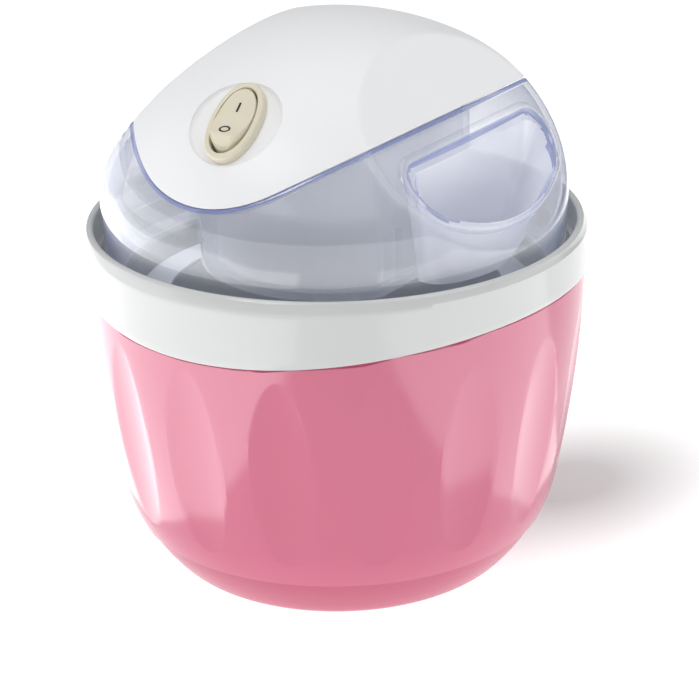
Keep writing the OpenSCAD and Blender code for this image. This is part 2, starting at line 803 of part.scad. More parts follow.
module switch_rocker() {
    body = 5.2;
    color("cornsilk") at_switch() translate([0, 0, pivot_w]) rotate([-rocker_tilt, 0, 0]) {
        intersection() {
            rotate([90, 0, 90]) linear_extrude(2 * rocker_w, center = true) intersection() {
                circle(r = rocker_l);
                polygon([[-rocker_l, -2], [0, -3.6], [rocker_l, -2], [rocker_l, body],
                    [0, body - 2.4], [-rocker_l, body]]);
            }
            translate([0, 0, -10]) linear_extrude(20) polygon(oval(rocker_l, rocker_w));
        }
        rotate([0, 90, 0]) cylinder(r = hinge_r, h = 2 * (hole_w + 0.7), center = true);
    }
}

module switch_terminals() {
    color("silver") at_switch() for (x = [-4, 4])
        translate([x, 0, -body_d - 2]) cube([4.8, 0.8, 4 - fit], center = true);
}

module cord_gland() {
    color("dimgray") translate([0, 0, inlet_z]) rotate([-90, 0, 0]) difference() {
        union() {
            translate([0, 0, inlet_end - 8.5]) cylinder(r = inlet_r, h = 9);
            translate([0, 0, inlet_end + 0.1]) cylinder(r = inlet_r + 2, h = 2.4);
        }
        cylinder(r = inlet_bore, h = big);
    }
}

// Insulated wires from the gland to the switch and on to the motor
wire_r = 0.9;
function on_switch(p) =
    let (x = p[0], y = -switch_r + p[1] * cos(switch_tilt) - p[2] * sin(switch_tilt))
    [x * cos(switch_turn) - y * sin(switch_turn), x * sin(switch_turn) + y * cos(switch_turn),
    switch_z + p[1] * sin(switch_tilt) + p[2] * cos(switch_tilt)];
module wire(pts) {
    for (i = [0:len(pts) - 2]) {
        v = pts[i + 1] - pts[i];
        translate(pts[i]) rotate([0, acos(v[2] / norm(v)), atan2(v[1], v[0])])
            cylinder(r = wire_r, h = norm(v), $fn = 24);
        if (i > 0) translate(pts[i]) sphere(r = wire_r + 0.06, $fn = 24);
    }
}
module leads() {
    can_top = can_z + can_h;
    over_tray = seam_low + tray_top + 2 * (wire_r + fit);
    color("saddlebrown") for (s = [-1, 1])
        wire([[s * 1.5, inlet_end - 9, inlet_z], [s * 1.5, inlet_end - 16, inlet_z],
            [s * 6, rotor_off + 12, can_top + wire_r + fit], [s * 6, rotor_off - 8, can_top + wire_r + fit],
            let (p = on_switch([s * 4, 0, -body_d - 11])) [p[0], p[1], max(p[2], over_tray)],
            on_switch([s * 4, 0, -body_d - 4 - fit])]);
}

module cover_screws() {
    color("silver") for (p = boss_p) translate([p[0], p[1], head_z - 2.2]) {
        cylinder(r = 2.9, h = 2.1);
        cylinder(r = 1.5 - eps, h = 10);
    }
}

module plate_screws() {
    color("silver") for (p = post_p) translate([p[0], p[1], plate_z - 6]) {
        cylinder(r = 1.25 - eps, h = 6 + plate_t + 1);
        translate([0, 0, 6 + plate_t]) cylinder(r = 2.6, h = 1.8);
    }
}

// ---- paddle --------------------------------------------------------------------------
module paddle() {
    color("white") difference() {
        union() {
            translate([0, 0, well_z - 6]) cylinder(r = neck_r - run, h = 8);
            translate([0, 0, well_z - 9]) cylinder(r = neck_r + 3, h = 5 - fit);
            translate([0, 0, blade_foot]) cylinder(r = 8, h = well_z - 8 - blade_foot);
            rotate([90, 0, 0]) linear_extrude(blade_t, center = true) difference() {
                for (s = [0, 1]) mirror([s, 0]) polygon([[-eps, blade_foot], [liner_floor_r - 10, blade_foot],
                    [edge_at(blade_foot + 9), blade_foot + 9], [edge_at(arm_z), arm_z], [-eps, arm_z]]);
                for (s = [0, 1]) mirror([s, 0]) polygon([[8 + bar_w / 2, blade_foot + bar_w],
                    [edge_at(blade_foot) - bar_w, blade_foot + bar_w],
                    [edge_at(arm_z) - bar_w, arm_z - bar_w], [8 + bar_w / 2, arm_z - bar_w]]);
            }
        }
        // socket for the shaft
        difference() {
            translate([0, 0, shaft_z - 1]) cylinder(r = shaft_r + 0.15, h = big);
            translate([shaft_r - 1.2 + 0.2, -10, shaft_z - 2]) cube([10, 20, well_z - 4 - shaft_z]);
        }
    }
}

outer_bowl();
collar();
rubber_feet();
freezer_shell();
freezer_liner();
coolant_gel();
freezer_rim();
lid();
motor_cover();
motor_housing();
shaft_seal();
output_bush();
gear_plate();
idler_pin();
motor_can();
motor_coil();
motor_poles();
rotor_bushes();
rotor_magnet();
rotor_pinion();
idler_gear();
output_gear();
output_shaft();
switch_body();
switch_rocker();
switch_terminals();
cord_gland();
leads();
cover_screws();
plate_screws();
paddle();
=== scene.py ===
# %% [markdown]
# # A half-litre ice cream maker
# A pink fluted housing with a white collar holds a freezer bowl. A clear domed lid stands
# in the collar, and a white power unit with a cream rocker switch hangs in that lid.
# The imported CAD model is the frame: it gives every place and every size. This notebook
# dresses it. Each step first says what the piece is, then how it is made and why.

# %% Load the frame
import math
import bpy
import bmesh
import numpy as np
from mathutils import Matrix, Vector
from mathutils.bvhtree import BVHTree


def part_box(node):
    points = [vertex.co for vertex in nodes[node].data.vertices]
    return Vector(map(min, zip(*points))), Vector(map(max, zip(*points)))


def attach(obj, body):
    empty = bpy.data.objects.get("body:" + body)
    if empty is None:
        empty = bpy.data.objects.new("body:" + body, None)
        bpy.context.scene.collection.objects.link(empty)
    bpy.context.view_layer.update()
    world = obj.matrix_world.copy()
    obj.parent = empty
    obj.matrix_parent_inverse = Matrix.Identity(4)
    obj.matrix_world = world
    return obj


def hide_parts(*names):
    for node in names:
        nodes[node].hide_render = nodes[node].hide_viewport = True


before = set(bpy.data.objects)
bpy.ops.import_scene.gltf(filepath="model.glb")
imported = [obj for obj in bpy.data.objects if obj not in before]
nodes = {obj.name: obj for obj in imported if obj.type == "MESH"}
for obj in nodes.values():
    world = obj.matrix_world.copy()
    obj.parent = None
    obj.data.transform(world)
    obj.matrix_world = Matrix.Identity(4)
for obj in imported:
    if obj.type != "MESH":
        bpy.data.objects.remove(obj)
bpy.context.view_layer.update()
MM = 0.001

# %% [markdown]
# ## Studio
# The object stands on a plain pale floor under soft light. The key panel stands high at the
# front left and throws the soft shadow to the back right. Weaker panels fill the sides and
# the top. Two white cards lie on the floor beside the object. They only show in gloss, and
# put the pale bands on the flanks of the housing, while its front stays deep pink.

# %% Camera
TARGET = Vector((0, 0, 0.100))
AZIMUTH, ELEVATION, ROLL = math.radians(35.5), math.radians(21.1), math.radians(1.38)
DISTANCE, LENS_MM, SENSOR_MM = 1.0, 142.4, 36.0
SHIFT_X, SHIFT_Y = 0.01817, -0.07554

def make_camera():
    back = Vector((math.sin(AZIMUTH) * math.cos(ELEVATION),
                   -math.cos(AZIMUTH) * math.cos(ELEVATION), math.sin(ELEVATION)))
    right = Vector((math.cos(AZIMUTH), math.sin(AZIMUTH), 0))
    up = back.cross(right)
    c, s = math.cos(ROLL), math.sin(ROLL)
    side, top = c * right - s * up, s * right + c * up
    data = bpy.data.cameras.new("camera")
    data.lens, data.sensor_width = LENS_MM, SENSOR_MM
    data.shift_x, data.shift_y = SHIFT_X, SHIFT_Y
    cam = bpy.data.objects.new("camera", data)
    turn = Matrix((side, top, back)).transposed().to_4x4()
    cam.matrix_world = Matrix.Translation(TARGET + back * DISTANCE) @ turn
    bpy.context.scene.collection.objects.link(cam)
    bpy.context.scene.camera = cam
    return cam

camera = make_camera()
print("camera at", [round(v, 3) for v in camera.matrix_world.translation])

# %% Floor and lights
def add_panel(name, place, aim, size, power):
    """A rectangular soft light of power watts, turned towards aim."""
    data = bpy.data.lights.new(name, "AREA")
    data.shape, data.size, data.size_y = "RECTANGLE", size[0], size[1]
    data.energy = power
    lamp = bpy.data.objects.new(name, data)
    lamp.location = place
    lamp.rotation_euler = (Vector(aim) - Vector(place)).to_track_quat("-Z", "Y").to_euler()
    bpy.context.scene.collection.objects.link(lamp)
    return lamp

floor_mesh = bpy.data.meshes.new("floor")
floor_mesh.from_pydata([(-6, -6, 0), (6, -6, 0), (6, 6, 0), (-6, 6, 0)], [], [(0, 1, 2, 3)])
floor = bpy.data.objects.new("floor", floor_mesh)
bpy.context.scene.collection.objects.link(floor)

RIGHT = Vector((math.cos(AZIMUTH), math.sin(AZIMUTH), 0))
FRONT = Vector((math.sin(AZIMUTH), -math.cos(AZIMUTH), 0))
UP = Vector((0, 0, 1))
add_panel("key", -0.60 * RIGHT + 0.65 * FRONT + 1.15 * UP, (0, 0, 0.08), (0.55, 0.55), 5.6)
add_panel("fill", 0.65 * RIGHT + 0.40 * FRONT + 1.00 * UP, (0, 0, 0.12), (0.9, 0.9), 3.2)
add_panel("left", -0.95 * RIGHT - 0.10 * FRONT + 0.35 * UP, (0, 0, 0.08), (0.9, 0.8), 2.0)
add_panel("right", 0.90 * RIGHT - 0.10 * FRONT + 0.35 * UP, (0, 0, 0.10), (0.6, 0.8), 1.2)
add_panel("top", -0.05 * RIGHT - 0.2 * FRONT + 1.2 * UP, (0, 0, 0.10), (0.9, 0.9), 3.6)

def add_card(name, place, size, power):
    """A card flat on the floor, facing up, that shows in gloss alone."""
    lamp = add_panel(name, place, place + UP, size, power)
    lamp.rotation_euler = (math.pi, 0, AZIMUTH)
    lamp.visible_diffuse = lamp.visible_camera = False

add_card("left card", -0.350 * RIGHT - 0.035 * FRONT + 0.003 * UP, (0.50, 0.83), 2.0)
add_card("right card", 0.355 * RIGHT + 0.165 * FRONT + 0.003 * UP, (0.49, 0.43), 0.65)

world = bpy.data.worlds.new("sky")
bpy.context.scene.world = world
world.use_nodes = True
world.node_tree.nodes["Background"].inputs["Color"].default_value = (1, 1, 1, 1)
world.node_tree.nodes["Background"].inputs["Strength"].default_value = 0.20
bpy.context.scene.view_settings.view_transform = "Standard"

# %% [markdown]
# ## Formulas as Python expressions
# Shader maths and Geometry Nodes maths use the same Math node. One small class wraps a
# socket, so that `1 - mask * 0.5` in Python adds the nodes that work it out.

# %% Socket class
class Wire:
    def __init__(self, tree, socket):
        self.tree, self.socket = tree, socket

    def math(self, operation, *others):
        node = self.tree.nodes.new("ShaderNodeMath")
        node.operation = operation
        for slot, value in zip(node.inputs, (self,) + others):
            plug(self.tree, slot, value)
        return Wire(self.tree, node.outputs[0])

    def __add__(self, other):
        return self.math("ADD", other)

    def __sub__(self, other):
        return self.math("SUBTRACT", other)

    def __mul__(self, other):
        return self.math("MULTIPLY", other)

    def __truediv__(self, other):
        return self.math("DIVIDE", other)

    __radd__, __rmul__ = __add__, __mul__

    def __rsub__(self, other):
        return (self * -1.0).math("ADD", other)

    def __rtruediv__(self, other):
        return self.math("POWER", -1.0) * other

    def at_most(self, other):
        return self.math("MINIMUM", other)

    def at_least(self, other):
        return self.math("MAXIMUM", other)

    def root(self):
        return self.math("SQRT")

    def sin(self):
        return self.math("SINE")

    def cos(self):
        return self.math("COSINE")

def plug(tree, slot, value):
    """Links a wire to a socket, or sets the socket to a plain value."""
    if isinstance(value, Wire):
        tree.links.new(value.socket, slot)
    else:
        slot.default_value = value

class Maker:
    """Adds nodes to one tree: a type, its settings, then the values or links of its sockets."""
    def __init__(self, tree):
        self.tree = tree

    def node(self, kind, out=0, sockets=None, **settings):
        made = self.tree.nodes.new(kind)
        for name, value in settings.items():
            setattr(made, name, value)
        for name, value in (sockets or {}).items():
            plug(self.tree, made.inputs[name], value)
        return Wire(self.tree, made.outputs[out])

    def mix(self, factor, first, second):
        made = self.tree.nodes.new("ShaderNodeMixShader")
        for slot, value in zip(made.inputs, (factor, first, second)):
            plug(self.tree, slot, value)
        return Wire(self.tree, made.outputs[0])

    def noise(self, place, scale, detail):
        return self.node("ShaderNodeTexNoise", out="Fac",
                         sockets={"Vector": place, "Scale": scale, "Detail": detail})

    def ramp(self, fac, stops):
        made = self.tree.nodes.new("ShaderNodeValToRGB")
        bar = made.color_ramp
        while len(bar.elements) < len(stops):
            bar.elements.new(0.5)
        for stop, (place, tone) in zip(bar.elements, stops):
            stop.position, stop.color = place, tuple(tone) + (1,)
        plug(self.tree, made.inputs["Fac"], fac)
        return Wire(self.tree, made.outputs["Color"])

print("expression helpers ready")

# %% [markdown]
# ## Plastics and metals
# Injection-moulded plastic isn't one flat colour. Its tone drifts slightly over a part, and
# its skin has a very fine ripple that softens reflections. Both come from noise on object
# coordinates, so they stay on the piece when it moves.

# %% Moulded plastic
def moulded(name, tone, rough=0.3, drift=0.03, ripple=0.02, grain=180.0, coat=0.0, **fixed):
    """drift is the share by which the tone varies, ripple the bump; fixed names other sockets."""
    mat = bpy.data.materials.new(name)
    mat.use_nodes = True
    tree = mat.node_tree
    shader = tree.nodes["Principled BSDF"]
    make = Maker(tree)
    place = make.node("ShaderNodeTexCoord", out="Object")
    cloud = make.noise(place, 14.0, 3.0)
    fine = make.noise(place, grain * 10, 2.0)
    dark = [c * (1 - drift) for c in tone]
    light = [min(1.0, c * (1 + drift)) for c in tone]
    plug(tree, shader.inputs["Base Color"], make.ramp(cloud, [(0.3, dark), (0.7, light)]))
    plug(tree, shader.inputs["Roughness"], (fine - 0.5) * 0.06 + (cloud - 0.5) * 0.05 + rough)
    bump = make.node("ShaderNodeBump", sockets={"Height": fine, "Strength": ripple, "Distance": 0.0002})
    plug(tree, shader.inputs["Normal"], bump)
    shader.inputs["Coat Weight"].default_value = coat
    for socket, value in fixed.items():
        shader.inputs[socket.replace("_", " ")].default_value = value
    return mat

pink_gloss = moulded("pink moulded plastic", (0.575, 0.09, 0.185), rough=0.38, drift=0.02, coat=1.0,
                     Coat_IOR=1.8, Coat_Roughness=0.16, Specular_IOR_Level=0.0)
# painted shade: the foot's deeper pink stands for the shade on its downturned face
pink_foot_painted_shade = moulded("pink foot painted shade plastic", (0.50, 0.066, 0.145), rough=0.42, drift=0.02, coat=0.8,
                    Coat_IOR=1.8, Coat_Roughness=0.2, Specular_IOR_Level=0.0)
white_gloss = moulded("white satin plastic", (0.86, 0.865, 0.88), rough=0.42, drift=0.01)
collar_white = moulded("collar plastic", (0.60, 0.61, 0.61), rough=0.25, drift=0.012, coat=0.4)
housing_white = moulded("lower housing plastic", (0.92, 0.93, 0.97), rough=0.35, drift=0.02)
cream_plastic = moulded("cream switch plastic", (0.73, 0.68, 0.54), rough=0.34, drift=0.02)
bowl_grey = moulded("bowl rim plastic", (0.80, 0.83, 0.89), rough=0.4, drift=0.03)
gear_ivory = moulded("gear plastic", (0.80, 0.77, 0.66), rough=0.45)
paddle_white = moulded("paddle plastic", (0.80, 0.80, 0.78), rough=0.35)
rubber_black = moulded("rubber", (0.035, 0.035, 0.038), rough=0.75, ripple=0.2, grain=120)
wire_brown = moulded("wire insulation", (0.16, 0.05, 0.025), rough=0.45)
gel_blue = moulded("cooling gel", (0.35, 0.55, 0.75), rough=0.2, drift=0.08)
mark_black = moulded("printed mark", (0.02, 0.02, 0.02), rough=0.5, ripple=0.0)
print("plastics", [m.name for m in bpy.data.materials][:14])

# %% [markdown]
# The floor glows, as an evenly lit white sweep does. It glows less in an oval area that
# leads away behind and to the right of the object: a painted shadow, which keeps the soft shadow visible.

# %% Floor material
def floor_with_painted_shadow(albedo, near, centre, radii):
    """near is the lower glow in the oval, a painted shadow; centre and radii are along and across it, in m.
    """
    mat = moulded("floor", (albedo, albedo, albedo), rough=0.9, drift=0.0, ripple=0.0,
                  Specular_IOR_Level=0.0, Emission_Strength=1.0)
    tree = mat.node_tree
    make = Maker(tree)
    place = make.node("ShaderNodeTexCoord", out="Object")
    away = 0.0
    axes = (0.75 * RIGHT - 0.66 * FRONT, 0.66 * RIGHT + 0.75 * FRONT)
    for direction, middle, radius in zip(axes, centre, radii):
        part = make.node("ShaderNodeVectorMath", out="Value", operation="DOT_PRODUCT",
                         sockets={0: place, 1: direction})
        part = (part - middle) / radius
        away = part * part + away
    # painted shadow: the glow is near inside the oval and rises to full outside it
    glow = make.ramp(away.root(), [(0.2, (near,) * 3), (1.0, (1.0,) * 3)])
    plug(tree, tree.nodes["Principled BSDF"].inputs["Emission Color"], glow)
    return mat

floor.data.materials.append(floor_with_painted_shadow(0.50, 0.28, (0.100, 0.020), (0.100, 0.075)))
print("floor glows")

# %% [markdown]
# Metal parts are brushed or drawn: fine noise, stretched along the piece, drives the
# roughness and darkens the tone a little. The ferrite magnet is a dull grey ceramic.

# %% Metals
def metal(name, tone, rough, streak=(1, 1, 1), depth=0.25):
    mat = bpy.data.materials.new(name)
    mat.use_nodes = True
    tree = mat.node_tree
    shader = tree.nodes["Principled BSDF"]
    make = Maker(tree)
    place = make.node("ShaderNodeTexCoord", out="Object")
    stretched = make.node("ShaderNodeMapping", sockets={"Vector": place, "Scale": streak})
    brush = make.noise(stretched, 400.0, 4.0)
    dark = [c * 0.9 for c in tone]
    plug(tree, shader.inputs["Base Color"], make.ramp(brush, [(0.25, dark), (0.75, tone)]))
    plug(tree, shader.inputs["Roughness"], (brush - 0.5) * depth + rough)
    shader.inputs["Metallic"].default_value = 1.0
    return mat

steel = metal("sheet steel", (0.62, 0.62, 0.64), 0.32, (1, 1, 6))
liner_metal = metal("bowl liner metal", (0.55, 0.60, 0.68), 0.38, (1, 1, 5))
bronze = metal("sintered bronze", (0.55, 0.36, 0.16), 0.42)
copper = metal("copper winding", (0.72, 0.32, 0.16), 0.35, (0.3, 0.3, 12))
ferrite = moulded("ferrite", (0.03, 0.03, 0.033), rough=0.55, ripple=0.15)
print("metals ready")

# %% [markdown]
# ## Clear lid plastic
# Thin clear polystyrene lets light straight through face on and looks lavender where it is
# seen edge on. A transparent shader gives the first and a tinted plastic the second, mixed
# by the facing angle. A gloss that grows at grazing angles makes the bright lines on edges.
# Shadow rays pass it almost freely, so the inside of the lid is as light as on the real one.
# The faces close under the seam and inside the lip get a deeper lavender: painted shade.

# %% Clear plastic
def clear_plastic(name, tint, rim, body, edge, power):
    """body and edge are how much of the plastic shows face on and edge on, power how fast it grows."""
    mat = bpy.data.materials.new(name)
    mat.use_nodes = True
    tree = mat.node_tree
    make = Maker(tree)
    shader = tree.nodes["Principled BSDF"]
    place = make.node("ShaderNodeTexCoord", out="Object")
    haze = make.noise(place, 25.0, 2.0)
    facing = make.node("ShaderNodeLayerWeight", out="Facing", sockets={"Blend": 0.5})
    plug(tree, shader.inputs["Base Color"], make.ramp(facing, [(0.0, tint), (0.55, tint), (1.0, rim)]))
    plug(tree, shader.inputs["Roughness"], haze * 0.04 + 0.04)
    clear = make.node("ShaderNodeBsdfTransparent", sockets={"Color": (0.985, 0.988, 0.997, 1)})
    gloss = make.node("ShaderNodeBsdfAnisotropic", sockets={"Color": (1, 1, 1, 1), "Roughness": 0.03})
    cover = facing.math("POWER", power) * (edge - body) + body + (haze - 0.5) * 0.03
    plastic = Wire(tree, shader.outputs[0])
    mixed = make.mix(cover, clear, plastic)
    mirror = facing.math("POWER", 5.0) * 0.9 + 0.04
    shadow = make.node("ShaderNodeLightPath", out="Is Shadow Ray") * 0.96
    final = make.mix(shadow, make.mix(mirror, mixed, gloss), clear)
    plug(tree, tree.nodes["Material Output"].inputs["Surface"], final)
    return mat

lid_clear = clear_plastic("clear lid plastic", (0.88, 0.91, 1.0), (0.20, 0.27, 0.64),
                          body=0.17, edge=0.9, power=3.0)
chute_clear = clear_plastic("chute plastic", (0.90, 0.92, 1.0), (0.30, 0.38, 0.74),
                            body=0.56, edge=0.9, power=2.5)
# painted shade: a deeper lavender for the faces under the seam and inside the lip
lid_painted_shade = clear_plastic("lid painted shade plastic", (0.24, 0.29, 0.58), (0.08, 0.11, 0.36),
                         body=0.62, edge=0.95, power=1.5)
print("clear plastic ready")

# %% [markdown]
# ## Shared shapes
# Most pieces are shells: rings of points, joined row by row. A helper turns a stack of
# closed rings into a mesh, with the first and last ring drawn together at the axis.

# %% Ring stack
def ring_stack(name, rings, closed_ends=True):
    """A mesh of closed rings of points in m; with closed_ends off, the last ring joins the first."""
    rows, cols = len(rings), len(rings[0])
    verts = [tuple(p) for ring in rings for p in ring]
    faces = [(i * cols + j, i * cols + (j + 1) % cols, (i + 1) * cols + (j + 1) % cols, (i + 1) * cols + j)
             for i in range(rows - 1) for j in range(cols)]
    last = (rows - 1) * cols
    if not closed_ends:
        faces += [(last + j, last + (j + 1) % cols, (j + 1) % cols, j) for j in range(cols)]
    mesh = bpy.data.meshes.new(name)
    mesh.from_pydata(verts, [], faces)
    return tidy(name, mesh)

def tidy(name, mesh, merge=0.000001):
    """Merges doubled points, turns the faces outwards and puts the mesh in the scene."""
    bm = bmesh.new()
    bm.from_mesh(mesh)
    bmesh.ops.remove_doubles(bm, verts=bm.verts, dist=merge)
    bmesh.ops.dissolve_degenerate(bm, edges=bm.edges, dist=merge)
    bmesh.ops.recalc_face_normals(bm, faces=bm.faces)
    if bm.calc_volume(signed=True) < 0:
        bmesh.ops.reverse_faces(bm, faces=bm.faces)
    bm.to_mesh(mesh)
    bm.free()
    obj = bpy.data.objects.new(name, mesh)
    bpy.context.scene.collection.objects.link(obj)
    return obj

def smooth(obj, angle=30.0):
    """Smooth shading, with edges sharper than angle in degrees kept crisp."""
    mesh = obj.data
    mesh.polygons.foreach_set("use_smooth", [True] * len(mesh.polygons))
    bm = bmesh.new()
    bm.from_mesh(mesh)
    limit = math.radians(angle)
    for edge in bm.edges:
        edge.smooth = not (len(edge.link_faces) == 2 and edge.calc_face_angle(0) > limit)
    bm.to_mesh(mesh)
    bm.free()
    return obj

def dress(obj, material, body, *replaced, slot=None):
    """Gives a piece its material and its body, and hides the CAD nodes that it stands for."""
    obj.data.materials.clear()
    obj.data.materials.append(material)
    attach(obj, body)
    if replaced:
        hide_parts(*replaced)
    return obj

def combine(base, other, how):
    """Adds other to base, or cuts it from base, and uses it up."""
    mod = base.modifiers.new("cut", "BOOLEAN")
    mod.operation, mod.solver, mod.object = how, "MANIFOLD", other
    graph = bpy.context.evaluated_depsgraph_get()
    mesh = bpy.data.meshes.new_from_object(base.evaluated_get(graph))
    base.modifiers.remove(mod)
    base.data = mesh
    bpy.data.objects.remove(other)
    return base

print("shape helpers ready")

# %% [markdown]
# ## The dome
# Lid and cover share one outer skin: a dome with two flat facets, split by a curved seam.
# Each point of the skin is found along a ray from a point on the axis. A soft minimum of
# the dome and the facet planes rounds the ridges as a real mould does.

# %% Dome skin
DOME_R, SHOULDER_Z, DOME_TOP, CROWN_R = 83.3, 140.0, 205.0, 110.0
dome_h = DOME_TOP - SHOULDER_Z
SHOULDER_R = (2 * dome_h * CROWN_R - DOME_R ** 2 - dome_h ** 2) / (2 * (CROWN_R - DOME_R))
SHOULDER_X = DOME_R - SHOULDER_R
FACET_TILT, FACET_X, SEAM_TOP = math.radians(50), 49.5, 177.5
SEAM_TILT, SEAM_R = math.radians(29.5), 56.0
FAR_TILT, FAR_X = math.radians(53), 44.5
FACET_D = FACET_X * math.sin(FACET_TILT) + SEAM_TOP * math.cos(FACET_TILT)
far_seam = SEAM_TOP - (FACET_X - FAR_X) * math.tan(SEAM_TILT)
FAR_D = FAR_X * math.sin(FAR_TILT) + far_seam * math.cos(FAR_TILT)
FACETS = ((-1, FAR_TILT, FAR_D), (1, FACET_TILT, FACET_D))
dip_x = SEAM_R * math.sin(SEAM_TILT)
SEAM_LOW = SEAM_TOP - SEAM_R * (1 - math.cos(SEAM_TILT)) - (FACET_X - dip_x) * math.tan(SEAM_TILT)
RIDGE = 0.6

def seam_height(x):
    """Height of the seam in mm: round in the valley, straight on the flanks."""
    x = np.abs(x)
    flank = SEAM_TOP - (FACET_X - x) * math.tan(SEAM_TILT)
    dip = SEAM_LOW + SEAM_R - np.sqrt(np.maximum(SEAM_R ** 2 - x ** 2, 0))
    return np.where(x > dip_x, flank, dip)

def soft_min(a, b, width):
    """The smaller of two values, rounded where they differ by less than width."""
    h = np.maximum(width - np.abs(a - b), 0) / width
    return np.minimum(a, b) - h * h * width / 4

def to_plane(facing, height):
    """Way along a ray to a facet's plane, and a long way where the ray looks past the facet."""
    return np.where(facing > 0.05, height / np.maximum(facing, 0.05), 1000.0)

def skin(turn, rise, off=0.0):
    """Points of the dome in mm for directions turn (round the axis) and rise (up), in radians."""
    c, s = np.cos(rise), np.sin(rise)
    drop = CROWN_R - dome_h
    shoulder = SHOULDER_X * c + np.sqrt((SHOULDER_R + off) ** 2 - (SHOULDER_X * s) ** 2)
    crown = -drop * s + np.sqrt((CROWN_R + off) ** 2 - (drop * c) ** 2)
    lean = math.atan2(SHOULDER_X, drop)
    meet = math.atan2(CROWN_R * math.cos(lean) - drop, CROWN_R * math.sin(lean))
    reach = np.where(rise < meet, shoulder, crown)
    for side, tilt, distance in FACETS:
        facing = side * np.cos(turn) * c * math.sin(tilt) + s * math.cos(tilt)
        height = distance + off - SHOULDER_Z * math.cos(tilt)
        reach = soft_min(reach, to_plane(facing, height), RIDGE)
    return np.stack([reach * c * np.cos(turn), reach * c * np.sin(turn), SHOULDER_Z + reach * s], -1)

def seam_rise(turn, off=0.0, lift=0.0):
    """Rise at which the skin meets the seam, found by halving the range."""
    low, high = np.zeros_like(turn), np.full_like(turn, math.radians(80))
    for _ in range(40):
        middle = (low + high) / 2
        p = skin(turn, middle, off)
        under = p[:, 2] < seam_height(p[:, 0]) + lift
        low, high = np.where(under, middle, low), np.where(under, high, middle)
    return (low + high) / 2

COLS = 300
around = np.linspace(0, 2 * math.pi, COLS, endpoint=False)
print("dome: shoulder radius", round(SHOULDER_R, 1), "seam from", round(SEAM_LOW, 1), "to", SEAM_TOP)

# %% [markdown]
# ## White cover
# The cover is the upper part of the dome, a shell with a slightly rounded lower edge. Rows
# of points run from the seam to the top, on the outside and then on the inside.

# %% Cover shell
COVER_WALL = 2.5

def cover_rings():
    """Rows from the top down to the seam, round the lower edge, and up again on the inside."""
    rings = []
    start = seam_rise(around, 0, 0.75)
    for k in np.linspace(1, 0, 84):
        rings.append(skin(around, start + (math.pi / 2 - start) * k))
    for off, lift in ((-0.12, 0.5), (-0.4, 0.34), (-0.8, 0.3), (-2.4, 0.3)):
        rings.append(skin(around, seam_rise(around, off, lift), off))
    inner = seam_rise(around, -COVER_WALL, 0.35)
    for k in np.linspace(0, 1, 30):
        rings.append(skin(around, inner + (math.pi / 2 - inner) * k, -COVER_WALL))
    return [r * MM for r in rings]

cover = ring_stack("cover_shell", cover_rings())
print("cover faces", len(cover.data.polygons))

# %% [markdown]
# The switch sits in a shallow round dish. A turned cutter with a rounded rim makes it, and
# the same local frame then places the bezel and the rocker.

# %% Switch frame and dish
SWITCH_R, SWITCH_TURN, RECESS_R = 63.0, math.radians(4), 17.4
BEZEL, ROCKER, HOLE = (15.4, 9.2), (11.6, 6.8), (13.0, 7.2)
switch_tilt = math.asin((SWITCH_R - SHOULDER_X) / SHOULDER_R)
SWITCH_PLACE = Vector((0, -SWITCH_R, SHOULDER_Z + SHOULDER_R * math.cos(switch_tilt)))
upright = Matrix.Translation(SWITCH_PLACE * MM) @ Matrix.Rotation(switch_tilt, 4, "X")
at_switch = Matrix.Rotation(SWITCH_TURN, 4, "Z") @ upright

def turned(name, profile, cols=96, matrix=None, closed_ends=True):
    """A turned solid: profile lists (radius, height) in mm, from axis to axis or all round a ring."""
    angle = np.linspace(0, 2 * math.pi, cols, endpoint=False)
    c, s = np.cos(angle), np.sin(angle)
    rings = [np.stack([r * c, r * s, np.full(cols, z)], -1) * MM for r, z in profile]
    obj = ring_stack(name, rings, closed_ends)
    if matrix is not None:
        obj.data.transform(matrix)
    return obj

def arc_points(cx, cz, r, a0, a1, n=8):
    """n points on an arc round (cx, cz), from a0 to a1 in degrees."""
    return [(cx + r * math.cos(math.radians(a)), cz + r * math.sin(math.radians(a)))
            for a in np.linspace(a0, a1, n)]

DISH_FLOOR, DISH_FILLET = -3.2, 2.0

def dish_cutter():
    fillet = arc_points(RECESS_R - 2.4, DISH_FLOOR + DISH_FILLET, DISH_FILLET, -90, 0, 9)
    profile = [(0, DISH_FLOOR)] + fillet + [(RECESS_R, 2.0), (RECESS_R + 1, 30), (0, 30)]
    return turned("dish", profile, 128, at_switch)

def dish_back():
    """A pad inside the cover, so that the dish keeps a wall behind it."""
    rim = RECESS_R + 1.5
    top = [(r, -1.2 - r * r / 150) for r in np.linspace(rim, 0, 10)]
    return turned("dish back", [(0, -5.7), (rim, -5.7)] + top, 128, at_switch)

combine(cover, dish_back(), "UNION")
combine(cover, dish_cutter(), "DIFFERENCE")
hole = turned("switch hole", [(0, -30), (12, -30), (12, 0), (0, 0)], 64)
hole.data.transform(Matrix.Diagonal((0.72, 1.19, 1, 1)))
hole.data.transform(at_switch)
combine(cover, hole, "DIFFERENCE")
print("cover with its dish", len(cover.data.polygons))

# %% [markdown]
# A short round stub at the back carries the bush for the mains cord. It is turned about the
# axis of the cord, joined to the cover and bored through.

